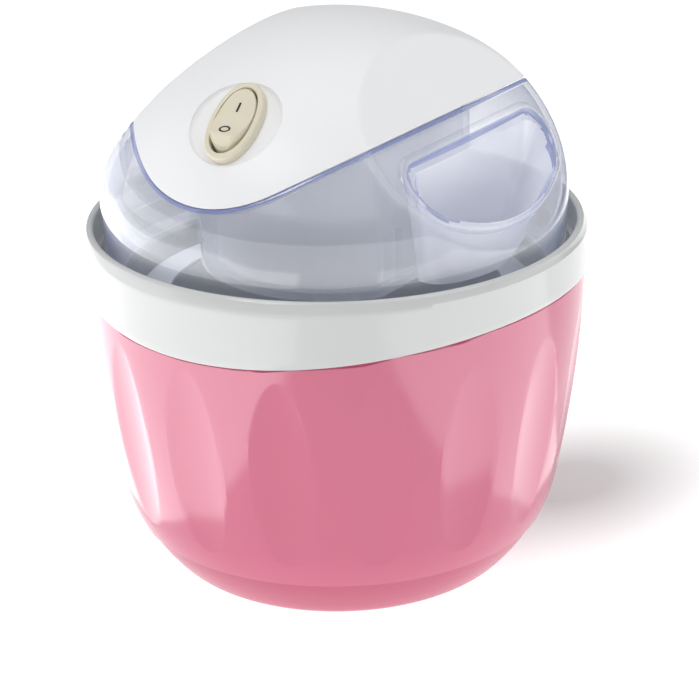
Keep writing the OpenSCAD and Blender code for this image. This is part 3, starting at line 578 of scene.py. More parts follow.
# %% Cord inlet
STUB_R, STUB_END, BORE_R = 7.6, 81, 5.05
at_inlet = Matrix.Translation((0, 0, (SEAM_LOW + 13) * MM)) @ Matrix.Rotation(math.radians(-90), 4, "X")
stub_edge = arc_points(7.0, 80.4, 0.6, 0, 90, 5)
stub = [(0, 60), (STUB_R, 60), (STUB_R, 80.4)] + stub_edge + [(BORE_R, STUB_END), (BORE_R, 62), (0, 62)]
bore = [(0, 50), (BORE_R, 50), (BORE_R, 90), (0, 90)]
combine(cover, turned("inlet stub", stub, 64, at_inlet), "UNION")
combine(cover, turned("inlet bore", bore, 64, at_inlet), "DIFFERENCE")
dress(smooth(cover, 22), white_gloss, "power_unit", "motor_cover", slot="white_plastic")
print("cover with its inlet", len(cover.data.polygons))

# %% [markdown]
# ## Switch
# The bezel and the rocker are ovals, stacked ring by ring in the switch's own frame. The
# rocker's top is slightly hollow. Its lower half stands proud because it is on, and its
# lower end falls off steeply behind the mark.

# %% Bezel and rocker
def oval(length, width, n=96, power=0.94):
    """An oval outline, a little fuller than an ellipse; length runs along y."""
    a = np.linspace(0, 2 * math.pi, n, endpoint=False)
    c, s = np.cos(a), np.sin(a)
    return np.stack([width * np.sign(c) * np.abs(c) ** power, length * np.sign(s) * np.abs(s) ** power], -1)

def oval_rings(levels, matrix):
    """A stack of ovals; levels lists (half length, half width, height) in mm."""
    rings = []
    for length, width, z in levels:
        o = oval(max(length, 0), max(width, 0))
        rings.append(np.concatenate([o, np.full((len(o), 1), z)], 1) * MM)
    obj = ring_stack("oval", rings)
    obj.data.transform(matrix)
    return obj

def bezel():
    (l, w), (hl, hw) = BEZEL, HOLE
    bottom, seat, edge, bead = -16, -3.2, -0.9, 1.1
    levels = [(0, 0, bottom), (hl + 1, hw + 1, bottom), (hl + 1, hw + 1, seat), (l, w, seat), (l, w, edge)]
    for t in np.linspace(0.2, math.pi / 2, 6):
        inset = bead * (1 - math.cos(t))
        levels.append((l - inset, w - inset, edge + 1.3 * math.sin(t)))
    levels += [(hl + 0.5, hw + 0.5, 0.38), (hl + 0.15, hw + 0.15, 0.25), (hl, hw, -0.1)]
    levels += [(hl, hw, -12), (0, 0, -12)]
    return oval_rings(levels, at_switch)

frame_ring = bezel()
frame_ring.name = "switch_bezel"
dress(smooth(frame_ring, 35), cream_plastic, "power_unit", "switch_body", slot="cream_plastic")

ROCKER_TILT, PIVOT_Z = math.radians(-10), -2
at_rocker = at_switch @ Matrix.Translation((0, 0, PIVOT_Z * MM)) @ Matrix.Rotation(ROCKER_TILT, 4, "X")

def rocker_top(y):
    """Height of the rocker's top at y: a shallow hollow that a steep slope cuts off low down."""
    hollow = 2.8 + 2.4 * abs(y / ROCKER[0]) ** 1.6
    steep = 4.35 + 1.3 * (y + 8.0)
    return soft_min(hollow, steep, 0.5)

def rocker():
    o = oval(*ROCKER)
    rings = []
    def level(k, z):
        rings.append(np.stack([o[:, 0] * k, o[:, 1] * k, z], -1) * MM)
    under = -3.0 + 0 * o[:, 0]
    level(0.0, under)
    level(0.97, under)
    level(1.0, under + 0.4)
    top = np.array([rocker_top(y) for y in o[:, 1]])
    for k, drop in ((1.0, 0.55), (0.992, 0.3), (0.975, 0.12), (0.945, 0.02)):
        level(k, top - drop)
    for k in np.linspace(0.92, 0, 40):
        level(k, np.array([rocker_top(y * k) for y in o[:, 1]]))
    obj = ring_stack("rocker_cap", rings)
    obj.data.transform(at_rocker)
    return obj

cap = dress(smooth(rocker(), 35), cream_plastic, "rocker", "switch_rocker", slot="cream_plastic")
PIN_R, PIN_HALF = 1.2, 7.8
pin = turned("rocker_pins", [(0, -PIN_HALF), (PIN_R, -PIN_HALF), (PIN_R, PIN_HALF), (0, PIN_HALF)], 24,
             at_rocker @ Matrix.Rotation(math.radians(90), 4, "Y"))
dress(smooth(pin), cream_plastic, "rocker")
print("switch faces", len(cap.data.polygons), len(frame_ring.data.polygons))

# %% [markdown]
# The two marks on the rocker say on and off. They are thin prints, so each is a strip that
# follows the hollow top and stands a few hundredths of a millimetre above it.

# %% Marks on the rocker
PRINT_LOW, PRINT_HIGH = 0.02, 0.06

def mark_ring(name, half_l, half_w, line, centre):
    """A flat ring printed on the rocker's hollow top, following its curve."""
    n = 48
    a = np.linspace(0, 2 * math.pi, n, endpoint=False)
    rings = []
    for grow, lift in ((0, PRINT_LOW), (0, PRINT_HIGH), (-line, PRINT_HIGH), (-line, PRINT_LOW)):
        x = (half_w + grow) * np.cos(a)
        y = centre + (half_l + grow) * np.sin(a)
        z = np.array([rocker_top(v) for v in y]) + lift
        rings.append(np.stack([x, y, z], -1) * MM)
    obj = ring_stack(name, rings, closed_ends=False)
    obj.data.transform(at_rocker)
    return obj

def mark_bar(name, centre, length, width):
    """A bar along y, made like the ring."""
    rings = []
    for y in np.linspace(centre - length / 2, centre + length / 2, 9):
        low, high = rocker_top(y) + PRINT_LOW, rocker_top(y) + PRINT_HIGH
        section = [(-width / 2, y, low), (width / 2, y, low), (width / 2, y, high), (-width / 2, y, high)]
        rings.append(np.array(section) * MM)
    first, last = (np.repeat(ring.mean(0)[None], 4, 0) for ring in (rings[0], rings[-1]))
    rings = [first] + rings + [last]
    obj = ring_stack(name, rings)
    obj.data.transform(at_rocker)
    return obj

dress(mark_ring("mark_off", 1.7, 2.1, 0.7, -5.8), mark_black, "rocker")
dress(mark_bar("mark_on", 4.4, 3.6, 0.8), mark_black, "rocker")
print("marks made")

# %% [markdown]
# ## Clear lid
# The lid is one moulding: dome wall, valley deck, motor well, feed chute and a foot that
# stands on the ledge. Solids are added and cut as the mould's cores do, and every curve is
# fine enough to refract smoothly.

# %% Lid blanks
LID_Z, LID_FOOT_R, LID_WALL = 112.3, 81.8, 2.2
WELL, WELL_FLOOR, WELL_WALL = (46.4, 37.2), 119, 2

def wall_reach(r, z, off):
    """Radius of the lid's wall all round at height z. The facets run on below the widest point."""
    reach = np.full(COLS, r)
    for side, tilt, distance in FACETS:
        facing = side * np.cos(around) * math.sin(tilt)
        reach = soft_min(reach, to_plane(facing, distance + off - z * math.cos(tilt)), RIDGE)
    return reach

def lid_blank(off, lift, foot, name):
    """A solid dome from its foot up to the deck under the seam; off moves the skin, lift the deck."""
    rings = [np.stack([0 * around, 0 * around, 0 * around + foot], -1)]
    foot_r = LID_FOOT_R + off
    for k in np.linspace(0, 1, 56):
        z = foot + (SHOULDER_Z - foot) * k
        r = wall_reach(foot_r + (DOME_R + off - foot_r) * k, z, off)
        rings.append(np.stack([r * np.cos(around), r * np.sin(around), 0 * around + z], -1))
    edge = 0.7 if off == 0 else 0.1
    stop = seam_rise(around, off, lift - edge)
    for k in np.linspace(0.02, 1, 40):
        rings.append(skin(around, stop * k, off))
    bend = off - 0.15 * edge
    rings.append(skin(around, seam_rise(around, bend, lift - edge * 0.35), bend))
    top = skin(around, seam_rise(around, off - 0.8 * edge, lift), off - 0.8 * edge)
    for k in np.linspace(1, 0, 26):
        x, y = top[:, 0] * k, top[:, 1] * k
        rings.append(np.stack([x, y, seam_height(x) + lift], -1))
    return ring_stack(name, [r * MM for r in rings])

def prism(name, outline, z0, z1):
    """An upright prism over an outline, from height z0 to z1."""
    o = np.array(outline)
    rings = []
    for k, z in ((0, z0), (1, z0), (1, z1), (0, z1)):
        c = o.mean(0)
        p = c + (o - c) * k
        rings.append(np.concatenate([p, np.full((len(o), 1), z)], 1) * MM)
    return ring_stack(name, rings)

def flatted(radius, flat, n=120):
    """Circle with two flat sides at x = +-flat."""
    a = np.linspace(0, 2 * math.pi, n, endpoint=False)
    x, y = radius * np.cos(a), radius * np.sin(a)
    return np.stack([np.clip(x, -flat, flat), y], -1)

print("lid helpers ready")

# %% Feed mouth and chute
def arc2(c, r, a0, a1, n):
    """Points on an arc round c, from a0 to a1 in degrees, in n steps."""
    a = np.radians(np.linspace(a0, a1, n + 1))
    return np.stack([c[0] + r * np.cos(a), c[1] + r * np.sin(a)], -1)

def d_outline(w, depth, bow, low, high, off=0.0):
    """A D: a straight side, two corners of radius high, a bow, and two corners of radius low."""
    far = (depth - bow, 0.0)
    low_c = (depth - bow + math.sqrt((bow - low) ** 2 - (w - low) ** 2), w - low)
    turn = math.degrees(math.atan2(low_c[1], low_c[0] - far[0]))
    half = np.concatenate([arc2(far, bow + off, 0, turn, 16), arc2(low_c, low + off, turn, 90, 12)[1:],
                           arc2((high, w - high), high + off, 90, 180, 8)])
    mirror = half[::-1] * [1, -1]
    flat = half[-1, 1]
    straight = np.array([[-off, y] for y in np.linspace(flat, -flat, 12)[1:-1]])
    return np.concatenate([half, straight, mirror[:-1]])

MOUTH_U = FACET_X * math.cos(FACET_TILT) - SEAM_TOP * math.sin(FACET_TILT) + 10
MOUTH = (41.5, 31.2, 66, 16, 7)
OUTLET = (24, 14.5, 40, 8, 2)
OUTLET_X, OUTLET_Z = 53.0, 125.0

def on_facet(outline, w):
    """Puts an outline on the near facet, w above it."""
    u, v = outline[:, 0] + MOUTH_U, outline[:, 1]
    c, s = math.cos(FACET_TILT), math.sin(FACET_TILT)
    h = FACET_D + w
    return np.stack([u * c + h * s, v, -u * s + h * c], -1)

def chute(name, off, w, down):
    """The chute as a solid, from the mouth down to the outlet, grown by off."""
    top = on_facet(d_outline(*MOUTH, off=off), w)
    low = d_outline(*OUTLET, off=off)
    bottom = np.concatenate([low + [OUTLET_X, 0], np.full((len(low), 1), OUTLET_Z - down)], 1)
    rings = [np.repeat(bottom.mean(0)[None], len(low), 0)]
    rings += [bottom + (top - bottom) * k for k in np.linspace(0, 1, 24)]
    rings += [np.repeat(top.mean(0)[None], len(low), 0)]
    return ring_stack(name, [r * MM for r in rings])

def lip():
    """Half-round rim round the mouth, swept along the D outline."""
    rings = []
    for a in np.linspace(0, 2 * math.pi, 20, endpoint=False):
        off, w = 1.4 + 1.9 * math.cos(a), -0.3 + 1.9 * math.sin(a)
        rings.append(on_facet(d_outline(*MOUTH, off=off), w) * MM)
    return ring_stack("lip", rings, closed_ends=False)

print("mouth outline points", len(d_outline(*MOUTH)))

# %% Put the lid together
def lid_foot():
    """The flange round the lid's foot, which stands on the collar's ledge."""
    profile = [(77, LID_Z), (81.75, LID_Z), (81.75, LID_Z + 1.7), (77.3, LID_Z + 2), (77, LID_Z + 1.7)]
    return turned("foot flange", profile, COLS, closed_ends=False)

def add_guides(lid):
    """Four guides for the power unit's latches, on the flat sides of the well."""
    for x in (-1, 1):
        for y in (-1, 1):
            section = np.array([(-1.5, -3.5), (1.5, -3.5), (1.5, 3.5), (-1.5, 3.5)]) + [x * 40.6, y * 23]
            combine(lid, prism("guide", section, 122, 140), "UNION")

def make_lid():
    lid = lid_blank(0, 0, LID_Z, "lid_shell")
    room = lid_blank(-LID_WALL, -LID_WALL, LID_Z - 10, "room")
    outside = flatted(WELL[0] + WELL_WALL, WELL[1] + WELL_WALL)
    combine(room, prism("well", outside, WELL_FLOOR - WELL_WALL, 200), "DIFFERENCE")
    combine(room, chute("chute", LID_WALL, 0.5, 0), "DIFFERENCE")
    combine(lid, room, "DIFFERENCE")
    combine(lid, lid_foot(), "UNION")
    combine(lid, turned("boss", [(0, 113), (12.6, 113), (13, 113.4), (13, 118), (0, 118)], 96), "UNION")
    combine(lid, lip(), "UNION")
    add_guides(lid)
    combine(lid, prism("well room", flatted(*WELL), WELL_FLOOR, 260), "DIFFERENCE")
    combine(lid, turned("neck hole", [(0, 110), (10, 110), (10, 122), (0, 122)], 96), "DIFFERENCE")
    combine(lid, chute("chute room", 0, 4, 1), "DIFFERENCE")
    return lid

lid = smooth(make_lid(), 28)
print("lid faces", len(lid.data.polygons))

# %% [markdown]
# The lid is one moulding, but it doesn't look the same all over. The chute's walls are
# frosted, and a deeper lavender is painted as shade under the seam and inside the lip. The
# faces are picked by their place: near the chute's surface, close under the seam, or inside
# the lip's outline.

# %% Chute and edge faces
def inside_outline(points, outline):
    """Which points lie in a closed outline, by counting the sides that a line from each crosses."""
    hit = np.zeros(len(points), bool)
    for (x0, y0), (x1, y1) in zip(outline, np.roll(outline, -1, 0)):
        crosses = (y0 > points[:, 1]) != (y1 > points[:, 1])
        at = x0 + (points[:, 1] - y0) * (x1 - x0) / (y1 - y0 if y1 != y0 else 1.0)
        hit ^= crosses & (points[:, 0] < at)
    return hit

def mark_chute_and_painted_shade(obj):
    """Gives the chute's walls a hazier plastic; paints shade in deeper lavender under the seam and inside
    the lip.
    """
    sides = [chute("chute inside", 0, 4, 1), chute("chute outside", LID_WALL, 0.5, 0)]
    walls = []
    for side in sides:
        points = [v.co for v in side.data.vertices]
        walls.append(BVHTree.FromPolygons(points, [f.vertices for f in side.data.polygons]))
    mesh = obj.data
    centre = np.empty(len(mesh.polygons) * 3)
    mesh.polygons.foreach_get("center", centre)
    p = centre.reshape(-1, 3) / MM
    c, s = math.cos(FACET_TILT), math.sin(FACET_TILT)
    u, height = p[:, 0] * c - p[:, 2] * s - MOUTH_U, p[:, 0] * s + p[:, 2] * c - FACET_D
    place = np.stack([u, p[:, 1]], -1)
    lip_shade = (height > -1.8) & (height < 1.2) & inside_outline(place, d_outline(*MOUTH, off=0.9))
    lip_shade &= ~inside_outline(place, d_outline(*MOUTH, off=-1.5))
    from_axis = np.hypot(p[:, 0], p[:, 1])
    flat = skin(np.arctan2(p[:, 1], p[:, 0]), np.arctan2(p[:, 2] - SHOULDER_Z, from_axis))
    depth = np.linalg.norm(flat - p, axis=1)
    seam_shade = (p[:, 2] > seam_height(p[:, 0]) - 1.3) & (depth < 2.6)
    on_chute = np.array([min(w.find_nearest(f.center)[3] for w in walls) < 0.00015 for f in mesh.polygons])
    on_chute &= from_axis > 30
    for side in sides:
        bpy.data.objects.remove(side)
    mesh.materials.append(chute_clear)
    mesh.materials.append(lid_painted_shade)
    # painted shade goes on the faces under the seam and inside the lip
    mesh.polygons.foreach_set("material_index", np.where(lip_shade | seam_shade, 2, on_chute).astype(np.int32))
    return int(on_chute.sum()), int((lip_shade | seam_shade).sum())

dress(lid, lid_clear, "lid", "lid", slot="clear_plastic")
print("chute and edge faces", mark_chute_and_painted_shade(lid))

# %% [markdown]
# ## Collar
# The collar is a turned ring, except that its lower edge dips at the front and back. Each
# ring of points may therefore change height on the way round.

# %% Collar
BOWL_R, BOWL_H, WALL_SLOPE, BARREL_R = 89.3, 118.0, math.radians(0.8), 406.0
SKIRT_SIDE, SKIRT_DIP, COLLAR_R = 115.5, 9.0, 90.0
SKIRT_R = (COLLAR_R ** 2 + SKIRT_DIP ** 2) / (2 * SKIRT_DIP)

def wall_radius(z):
    """Outside radius of the housing's barrel-shaped wall at height z."""
    return BOWL_R - math.tan(WALL_SLOPE) * (BOWL_H - z) - (BOWL_H - z) ** 2 / (2 * BARREL_R)

def skirt_height(y):
    """Height of the collar's lower edge: high at the two sides, low at the front and back."""
    return SKIRT_SIDE - SKIRT_R + np.sqrt(SKIRT_R ** 2 - y ** 2)

def collar():
    c, s = np.cos(around), np.sin(around)
    edge = skirt_height(COLLAR_R * s)
    rings = []
    def ring(r, z):
        rings.append(np.stack([r * c, r * s, z + 0 * c], -1) * MM)
    rim_z, rim_r, skirt_in, inner, ledge_r = 130.6, 1.4, 88.0, 86.1, 76
    ledge_low, ledge_top, wall_top, step_z = 109.5, 112, 118.3, 120.3
    inner_low = wall_radius(ledge_low) - 3.2
    for r, z in arc_points(87.6, rim_z, rim_r, 180, 0, 14):
        ring(r, z)
    for k in np.linspace(0.1, 1, 10):
        ring(COLLAR_R - 0.2 * k, rim_z + (edge + 0.5 - rim_z) * k)
    ring(COLLAR_R - 0.3, edge + 0.15)
    ring(COLLAR_R - 0.6, edge)
    ring(skirt_in, edge)
    ring(skirt_in, wall_top)
    ring(inner, wall_top)
    ring(inner_low, ledge_low)
    ring(ledge_r + 0.3, ledge_low)
    ring(ledge_r, ledge_low + 0.3)
    ring(ledge_r, ledge_top - 0.3)
    ring(ledge_r + 0.3, ledge_top)
    ring(inner_low - 1.6, ledge_top)
    ring(inner - 1.6, step_z)
    ring(inner + 0.11, step_z)
    return ring_stack("collar_ring", rings, closed_ends=False)

collar_ring = dress(smooth(collar(), 30), collar_white, "base", "collar", slot="white_plastic")
print("collar faces", len(collar_ring.data.polygons))

# %% [markdown]
# ## Fluted housing
# The housing is a turned shell whose wall has sixteen shallow scoops. The rule is simple:
# the wall's radius is the smaller of the plain wall and a large cylinder laid against it.
# Geometry Nodes move the points of a plain shell by that rule, so that the number, the
# depth and the radius of the flutes stay inputs.

# %% Plain shell
CORNER_R, CORNER_TOP, BASE_R, BASE_Z = 60.0, 35.5, 17.0, 1.2
FOOT_LINE, FOOT_STEP, BOWL_WALL = 21.0, 0.8, 3.0
corner_a = math.atan(math.tan(WALL_SLOPE) + (BOWL_H - CORNER_TOP) / BARREL_R)
corner_x = wall_radius(CORNER_TOP) - CORNER_R * math.cos(corner_a)
corner_z = CORNER_TOP + CORNER_R * math.sin(corner_a)
base_a = math.asin((corner_z - BASE_Z - BASE_R) / (CORNER_R - BASE_R))
base_x = corner_x + (CORNER_R - BASE_R) * math.cos(base_a)
SIDES = 384

def corner(z, inset=0.0):
    """Radius of the large curve at height z."""
    return corner_x + math.sqrt((CORNER_R - inset) ** 2 - (corner_z - z) ** 2)

def base_curve(inset=0.0):
    """Points of the tighter curve below it, from the floor up."""
    low, middle = BASE_R - inset, BASE_Z + BASE_R
    return [(base_x + low * math.sin(a), middle - low * math.cos(a))
            for a in np.linspace(0, math.pi / 2 - base_a, 12)]

def plain_shell():
    """The shell without flutes: up the outside, over the top edge and down the inside."""
    turn = np.linspace(0, 2 * math.pi, SIDES, endpoint=False)
    c, s = np.cos(turn), np.sin(turn)
    edge = skirt_height(COLLAR_R * s) - 0.3
    at_edge = wall_radius(edge)
    rings = []
    def ring(r, z):
        rings.append(np.stack([r * c, r * s, z + 0 * c], -1) * MM)
    ring(0, BASE_Z)
    for r, z in base_curve():
        ring(r - FOOT_STEP, z)
    for z in np.linspace(base_curve()[-1][1] + 1, FOOT_LINE - 0.02, 12):
        ring(corner(z) - FOOT_STEP, z)
    for z in np.linspace(FOOT_LINE + 0.02, CORNER_TOP, 26):
        ring(corner(z), z)
    for k in np.linspace(0, 1, 90)[1:]:
        z = CORNER_TOP + (edge - 0.4 - CORNER_TOP) * k
        ring(wall_radius(z), z)
    ring(at_edge - 0.4, edge)
    ring(at_edge - 1.5, edge)
    ring(wall_radius(BOWL_H) - 1.5, BOWL_H)
    ring(wall_radius(BOWL_H) - BOWL_WALL, BOWL_H)
    for z in np.linspace(BOWL_H - 6, CORNER_TOP, 12):
        ring(wall_radius(z) - BOWL_WALL, z)
    for z in np.linspace(CORNER_TOP - 2, base_curve(BOWL_WALL)[-1][1] + 1, 8):
        ring(corner(z, BOWL_WALL), z)
    for r, z in base_curve(BOWL_WALL)[::-1]:
        ring(r, z)
    ring(0, BASE_Z + BOWL_WALL)
    return ring_stack("fluted_housing", rings)

shell = plain_shell()
print("plain shell faces", len(shell.data.polygons))

# %% Flute rule in Geometry Nodes
def tree_with(name, inputs):
    """A node tree with a geometry input and output, and one more input for each (label, kind, value)."""
    tree = bpy.data.node_groups.new(name, "GeometryNodeTree")
    tree.interface.new_socket("Geometry", in_out="INPUT", socket_type="NodeSocketGeometry")
    for label, kind, value in inputs:
        socket = tree.interface.new_socket(label, in_out="INPUT", socket_type="NodeSocket" + kind)
        if value is not None:
            socket.default_value = value
    tree.interface.new_socket("Geometry", in_out="OUTPUT", socket_type="NodeSocketGeometry")
    start = tree.nodes.new("NodeGroupInput")
    end = tree.nodes.new("NodeGroupOutput")
    given = {label: Wire(tree, start.outputs[label]) for label, _, _ in inputs}
    given["Geometry"] = Wire(tree, start.outputs["Geometry"])
    return tree, given, end

def run_tree(obj, tree, values):
    """Runs a tree on a piece with the given inputs, and keeps the result as a plain mesh."""
    mod = obj.modifiers.new("rule", "NODES")
    mod.node_group = tree
    names = {item.name: item.identifier for item in tree.interface.items_tree if item.in_out == "INPUT"}
    for label, value in values.items():
        mod[names[label]] = value
    graph = bpy.context.evaluated_depsgraph_get()
    mesh = bpy.data.meshes.new_from_object(obj.evaluated_get(graph))
    obj.modifiers.remove(mod)
    obj.data = mesh
    return obj

def flute_tree():
    tree, given, end = tree_with("flutes", [
        ("Count", "Float", 16.0), ("Depth", "Float", 1.75), ("Radius", "Float", 62.0),
        ("Middle", "Float", 65.0), ("Start", "Float", 0.0), ("Material", "Material", None)])
    make = Maker(tree)
    place = make.node("GeometryNodeInputPosition")
    parts = tree.nodes.new("ShaderNodeSeparateXYZ")
    plug(tree, parts.inputs[0], place)
    x, y, z = (Wire(tree, parts.outputs[i]) * 1000.0 for i in range(3))
    r = (x * x + y * y).root()
    step = 2 * math.pi / given["Count"]
    # s runs from -1 to 1 across one flute and the half lands on its two sides
    turn = y.math("ARCTAN2", x) - given["Start"]
    s = ((turn / step + 0.5).math("FRACT") - 0.5) * 2.0
    middle_turn = turn - s * step * 0.5
    def wall(height):
        gap = BOWL_H - height
        return BOWL_R - math.tan(WALL_SLOPE) * gap - gap * gap / (2 * BARREL_R)
    slope_tan = (BOWL_H - given["Middle"]) / BARREL_R + math.tan(WALL_SLOPE)
    slope_cos = 1.0 / (slope_tan * slope_tan + 1.0).root()
    lean = (z - given["Middle"]) * slope_tan
    axis_x = wall(given["Middle"]) - given["Depth"] + given["Radius"] / slope_cos + lean
    below = corner_z - z
    curve = (CORNER_R * CORNER_R - below * below).root() + corner_x
    plain = make.node("GeometryNodeSwitch", input_type="FLOAT", sockets={
        "Switch": z.math("GREATER_THAN", CORNER_TOP), "False": curve, "True": wall(z)})
    depth = plain - (axis_x - given["Radius"] / slope_cos)
    half = (depth.at_least(0.0) * 2.0 / (1.0 / plain + 1.0 / (given["Radius"] * slope_cos))).root()
    border = (half / plain / (step * 0.5)).at_least(0.3).at_most(0.97)
    # move the columns so that one of them lies on the flute's border
    size = s.math("ABSOLUTE")
    kept = 2.0 / 3.0
    inside = size / kept * border
    outside = border + (size - kept) / (1 - kept) * (1.0 - border)
    moved = make.node("GeometryNodeSwitch", input_type="FLOAT", sockets={
        "Switch": size.math("GREATER_THAN", kept), "False": inside, "True": outside})
    local = moved * s.math("SIGN") * step * 0.5
    tangent = local.math("TANGENT")
    guess = plain * local.cos()
    for _ in range(3):
        across = guess * tangent
        guess = axis_x - (given["Radius"] * given["Radius"] - across * across).root() / slope_cos
    scoop = guess / local.cos()
    new_r = plain.at_most(scoop)
    new_turn = middle_turn + local + given["Start"]
    joined = make.node("ShaderNodeCombineXYZ", sockets={
        "X": new_r * new_turn.cos() * MM, "Y": new_r * new_turn.sin() * MM, "Z": z * MM})
    on_skin = (r - plain).math("ABSOLUTE").math("LESS_THAN", 0.02) * z.math("GREATER_THAN", FOOT_LINE + 1.0)
    fluted = make.node("GeometryNodeSetPosition", sockets={
        "Geometry": given["Geometry"], "Selection": on_skin, "Position": joined})
    done = make.node("GeometryNodeRealizeInstances", sockets={"Geometry": fluted})
    done = make.node("GeometryNodeSetMaterial", sockets={"Geometry": done, "Material": given["Material"]})
    plug(tree, end.inputs["Geometry"], done)
    return tree

FLUTE_START = math.radians(-90 + 22)
run_tree(shell, flute_tree(), {"Material": pink_gloss, "Start": FLUTE_START})
housing = dress(smooth(shell, 8.5), pink_gloss, "base", "outer_bowl", slot="pink_plastic")
print("fluted housing faces", len(housing.data.polygons))

# %% [markdown]
# No pink shows inside the clear lid, so the inner faces of the housing are white. The foot,
# below its fine line, is painted a slightly deeper pink than the wall: painted shade for
# its downturned face.

# %% White inside, painted shade on the foot
INSIDE, FOOT_SHADE, FLOOR_TOP = 1, 2, 10.0
for material in (collar_white, pink_foot_painted_shade):
    housing.data.materials.append(material)

def housing_part(face):
    inward = face.normal.x * face.center.x + face.normal.y * face.center.y < 0
    if inward or (face.center.z < FLOOR_TOP * MM and face.normal.z > 0.5):
        return INSIDE
    # painted shade: faces below the foot line get the deeper pink
    return FOOT_SHADE if face.center.z < FOOT_LINE * MM else 0

for face in housing.data.polygons:
    face.material_index = housing_part(face)
parts = [face.material_index for face in housing.data.polygons]
print("inner faces", parts.count(INSIDE), "foot faces", parts.count(FOOT_SHADE))

# %% [markdown]
# ## Feet and screws
# Feet and screws come in fours, at the corners of a rectangle. One of each is made, and a
# grid of two by two points in Geometry Nodes carries the copies. The place of the grid is
# read from the CAD node that the copies stand for.

# %% Rows of copies in Geometry Nodes
def copies_tree():
    tree, given, end = tree_with("grid of copies", [
        ("Size X", "Float", 0.05), ("Size Y", "Float", 0.05), ("Count X", "Int", 2), ("Count Y", "Int", 2),
        ("Height", "Float", 0.0), ("Material", "Material", None)])
    make = Maker(tree)
    grid = make.node("GeometryNodeMeshGrid", sockets={
        "Size X": given["Size X"], "Size Y": given["Size Y"],
        "Vertices X": given["Count X"], "Vertices Y": given["Count Y"]})
    lift = make.node("ShaderNodeCombineXYZ", sockets={"Z": given["Height"]})
    places = make.node("GeometryNodeTransform", sockets={"Geometry": grid, "Translation": lift})
    placed = make.node("GeometryNodeInstanceOnPoints",
                       sockets={"Points": places, "Instance": given["Geometry"]})
    done = make.node("GeometryNodeRealizeInstances", sockets={"Geometry": placed})
    done = make.node("GeometryNodeSetMaterial", sockets={"Geometry": done, "Material": given["Material"]})
    plug(tree, end.inputs["Geometry"], done)
    return tree

def four_copies(piece, node, across, material, body, slot):
    """Puts a piece at the four outer places of a CAD node; across is the piece's own width in mm."""
    low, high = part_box(node)
    run_tree(piece, copies, {
        "Size X": high[0] - low[0] - across * MM, "Size Y": high[1] - low[1] - across * MM,
        "Height": low[2], "Material": material})
    return dress(smooth(piece, 35), material, body, node, slot=slot)

FOOT_R, FOOT_H = 6, 2.2

def rubber_foot():
    """A round foot with a shallow hollow underneath and a rounded edge."""
    rim = arc_points(FOOT_R - 0.8, 0.8, 0.8, -90, 0, 6)
    hollow = [(0, 0.25), (3.6, 0.25), (4.2, 0)]
    return turned("rubber_foot", hollow + rim + [(FOOT_R, FOOT_H), (0, FOOT_H)], 48)

def screw(name, head_r, head_h, shaft_r, length):
    """Pan-head screw, head down at height 0, with a cross recess in it."""
    head = [(0, 0), (head_r * 0.5, 0.0), (head_r * 0.85, head_h * 0.18),
            (head_r, head_h * 0.5), (head_r, head_h)]
    piece = turned(name, head + [(shaft_r, head_h), (shaft_r, length), (0, length)], 40)
    for size in ((head_r * 0.55, 0.35), (0.35, head_r * 0.55)):
        bar = np.array([(-size[0], -size[1]), (size[0], -size[1]), (size[0], size[1]), (-size[0], size[1])])
        combine(piece, prism("recess", bar, -1, head_h * 0.55), "DIFFERENCE")
    return piece

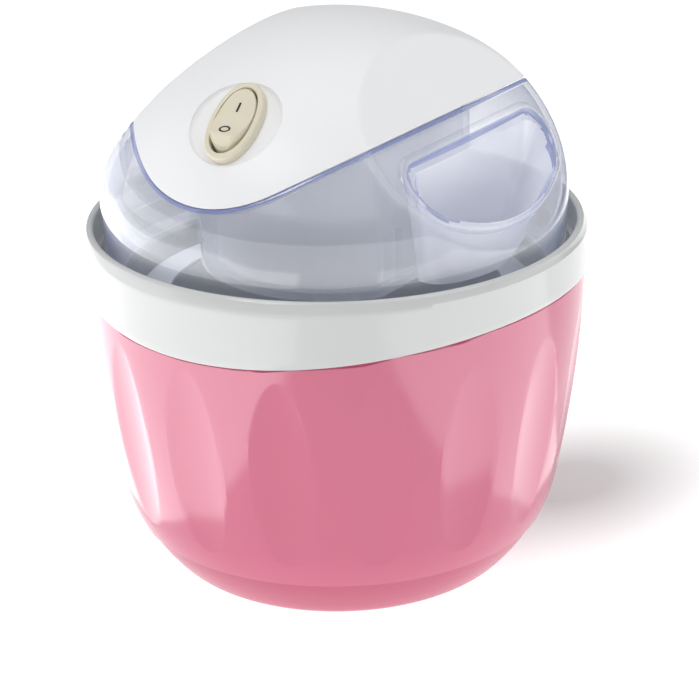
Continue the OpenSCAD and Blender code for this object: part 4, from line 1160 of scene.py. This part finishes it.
COVER_HEAD_R, PLATE_HEAD_R, PLATE_SCREW = 2.9, 2.6, 9.3
copies = copies_tree()
feet = four_copies(rubber_foot(), "rubber_feet", 2 * FOOT_R, rubber_black, "base", "rubber")
cover_screw = screw("cover_screw", COVER_HEAD_R, 2.1, 1.45, 10.0)
cover_screws = four_copies(cover_screw, "cover_screws", 2 * COVER_HEAD_R, steel, "power_unit", "steel")
plate_screw = screw("plate_screw", PLATE_HEAD_R, 1.8, 1.2, PLATE_SCREW)
plate_screw.data.transform(Matrix.Translation((0, 0, PLATE_SCREW * MM)) @ Matrix.Rotation(math.pi, 4, "X"))
plate_screws = four_copies(plate_screw, "plate_screws", 2 * PLATE_HEAD_R, steel, "power_unit", "steel")
for made in (feet, cover_screws, plate_screws):
    print(made.name, len(made.data.polygons))

# %% [markdown]
# ## Pieces seen through the lid
# The freezer bowl's rim and liner, and the lower housing, are simple turned shapes, and the
# CAD solids are right as they are. A copy with its points merged gets smooth shading.

# %% Smooth copies
def smooth_copy(node, material, body, angle=32, slot=None):
    mesh = nodes[node].data.copy()
    obj = tidy(node + "_smooth", mesh, 0.000002)
    return dress(smooth(obj, angle), material, body, node, slot=slot)

SMOOTH = {"freezer_rim": (bowl_grey, "freezer_bowl", "grey_plastic"),
          "freezer_liner": (liner_metal, "freezer_bowl", "liner_metal"),
          "freezer_shell": (bowl_grey, "freezer_bowl", "grey_plastic"),
          "motor_housing": (housing_white, "power_unit", "white_plastic"),
          "paddle": (paddle_white, "paddle", "paddle_plastic"),
          "output_shaft": (steel, "output", "steel"),
          "cord_gland": (rubber_black, "power_unit", "rubber")}
for node, (material, body, slot) in SMOOTH.items():
    made = smooth_copy(node, material, body, slot=slot)
    print(made.name, len(made.data.polygons))

# %% [markdown]
# The pieces inside the power unit keep their CAD meshes and only get a material. Nothing of
# them shows at rest, but they are there when the unit is opened or looked into.

# %% Materials of the inner nodes
INNER = {"coolant_gel": gel_blue, "shaft_seal": rubber_black, "leads": wire_brown,
         "output_bush": bronze, "rotor_bushes": bronze, "switch_terminals": bronze,
         "gear_plate": steel, "idler_pin": steel, "rotor_pinion": steel,
         "motor_can": steel, "motor_poles": steel, "motor_coil": copper, "rotor_magnet": ferrite,
         "idler_gear": gear_ivory, "output_gear": gear_ivory}
for node, material in INNER.items():
    mesh = nodes[node].data
    if not mesh.materials:
        mesh.materials.append(material)
    for slot in nodes[node].material_slots:
        slot.material = material
print("inner nodes dressed", len(INNER))
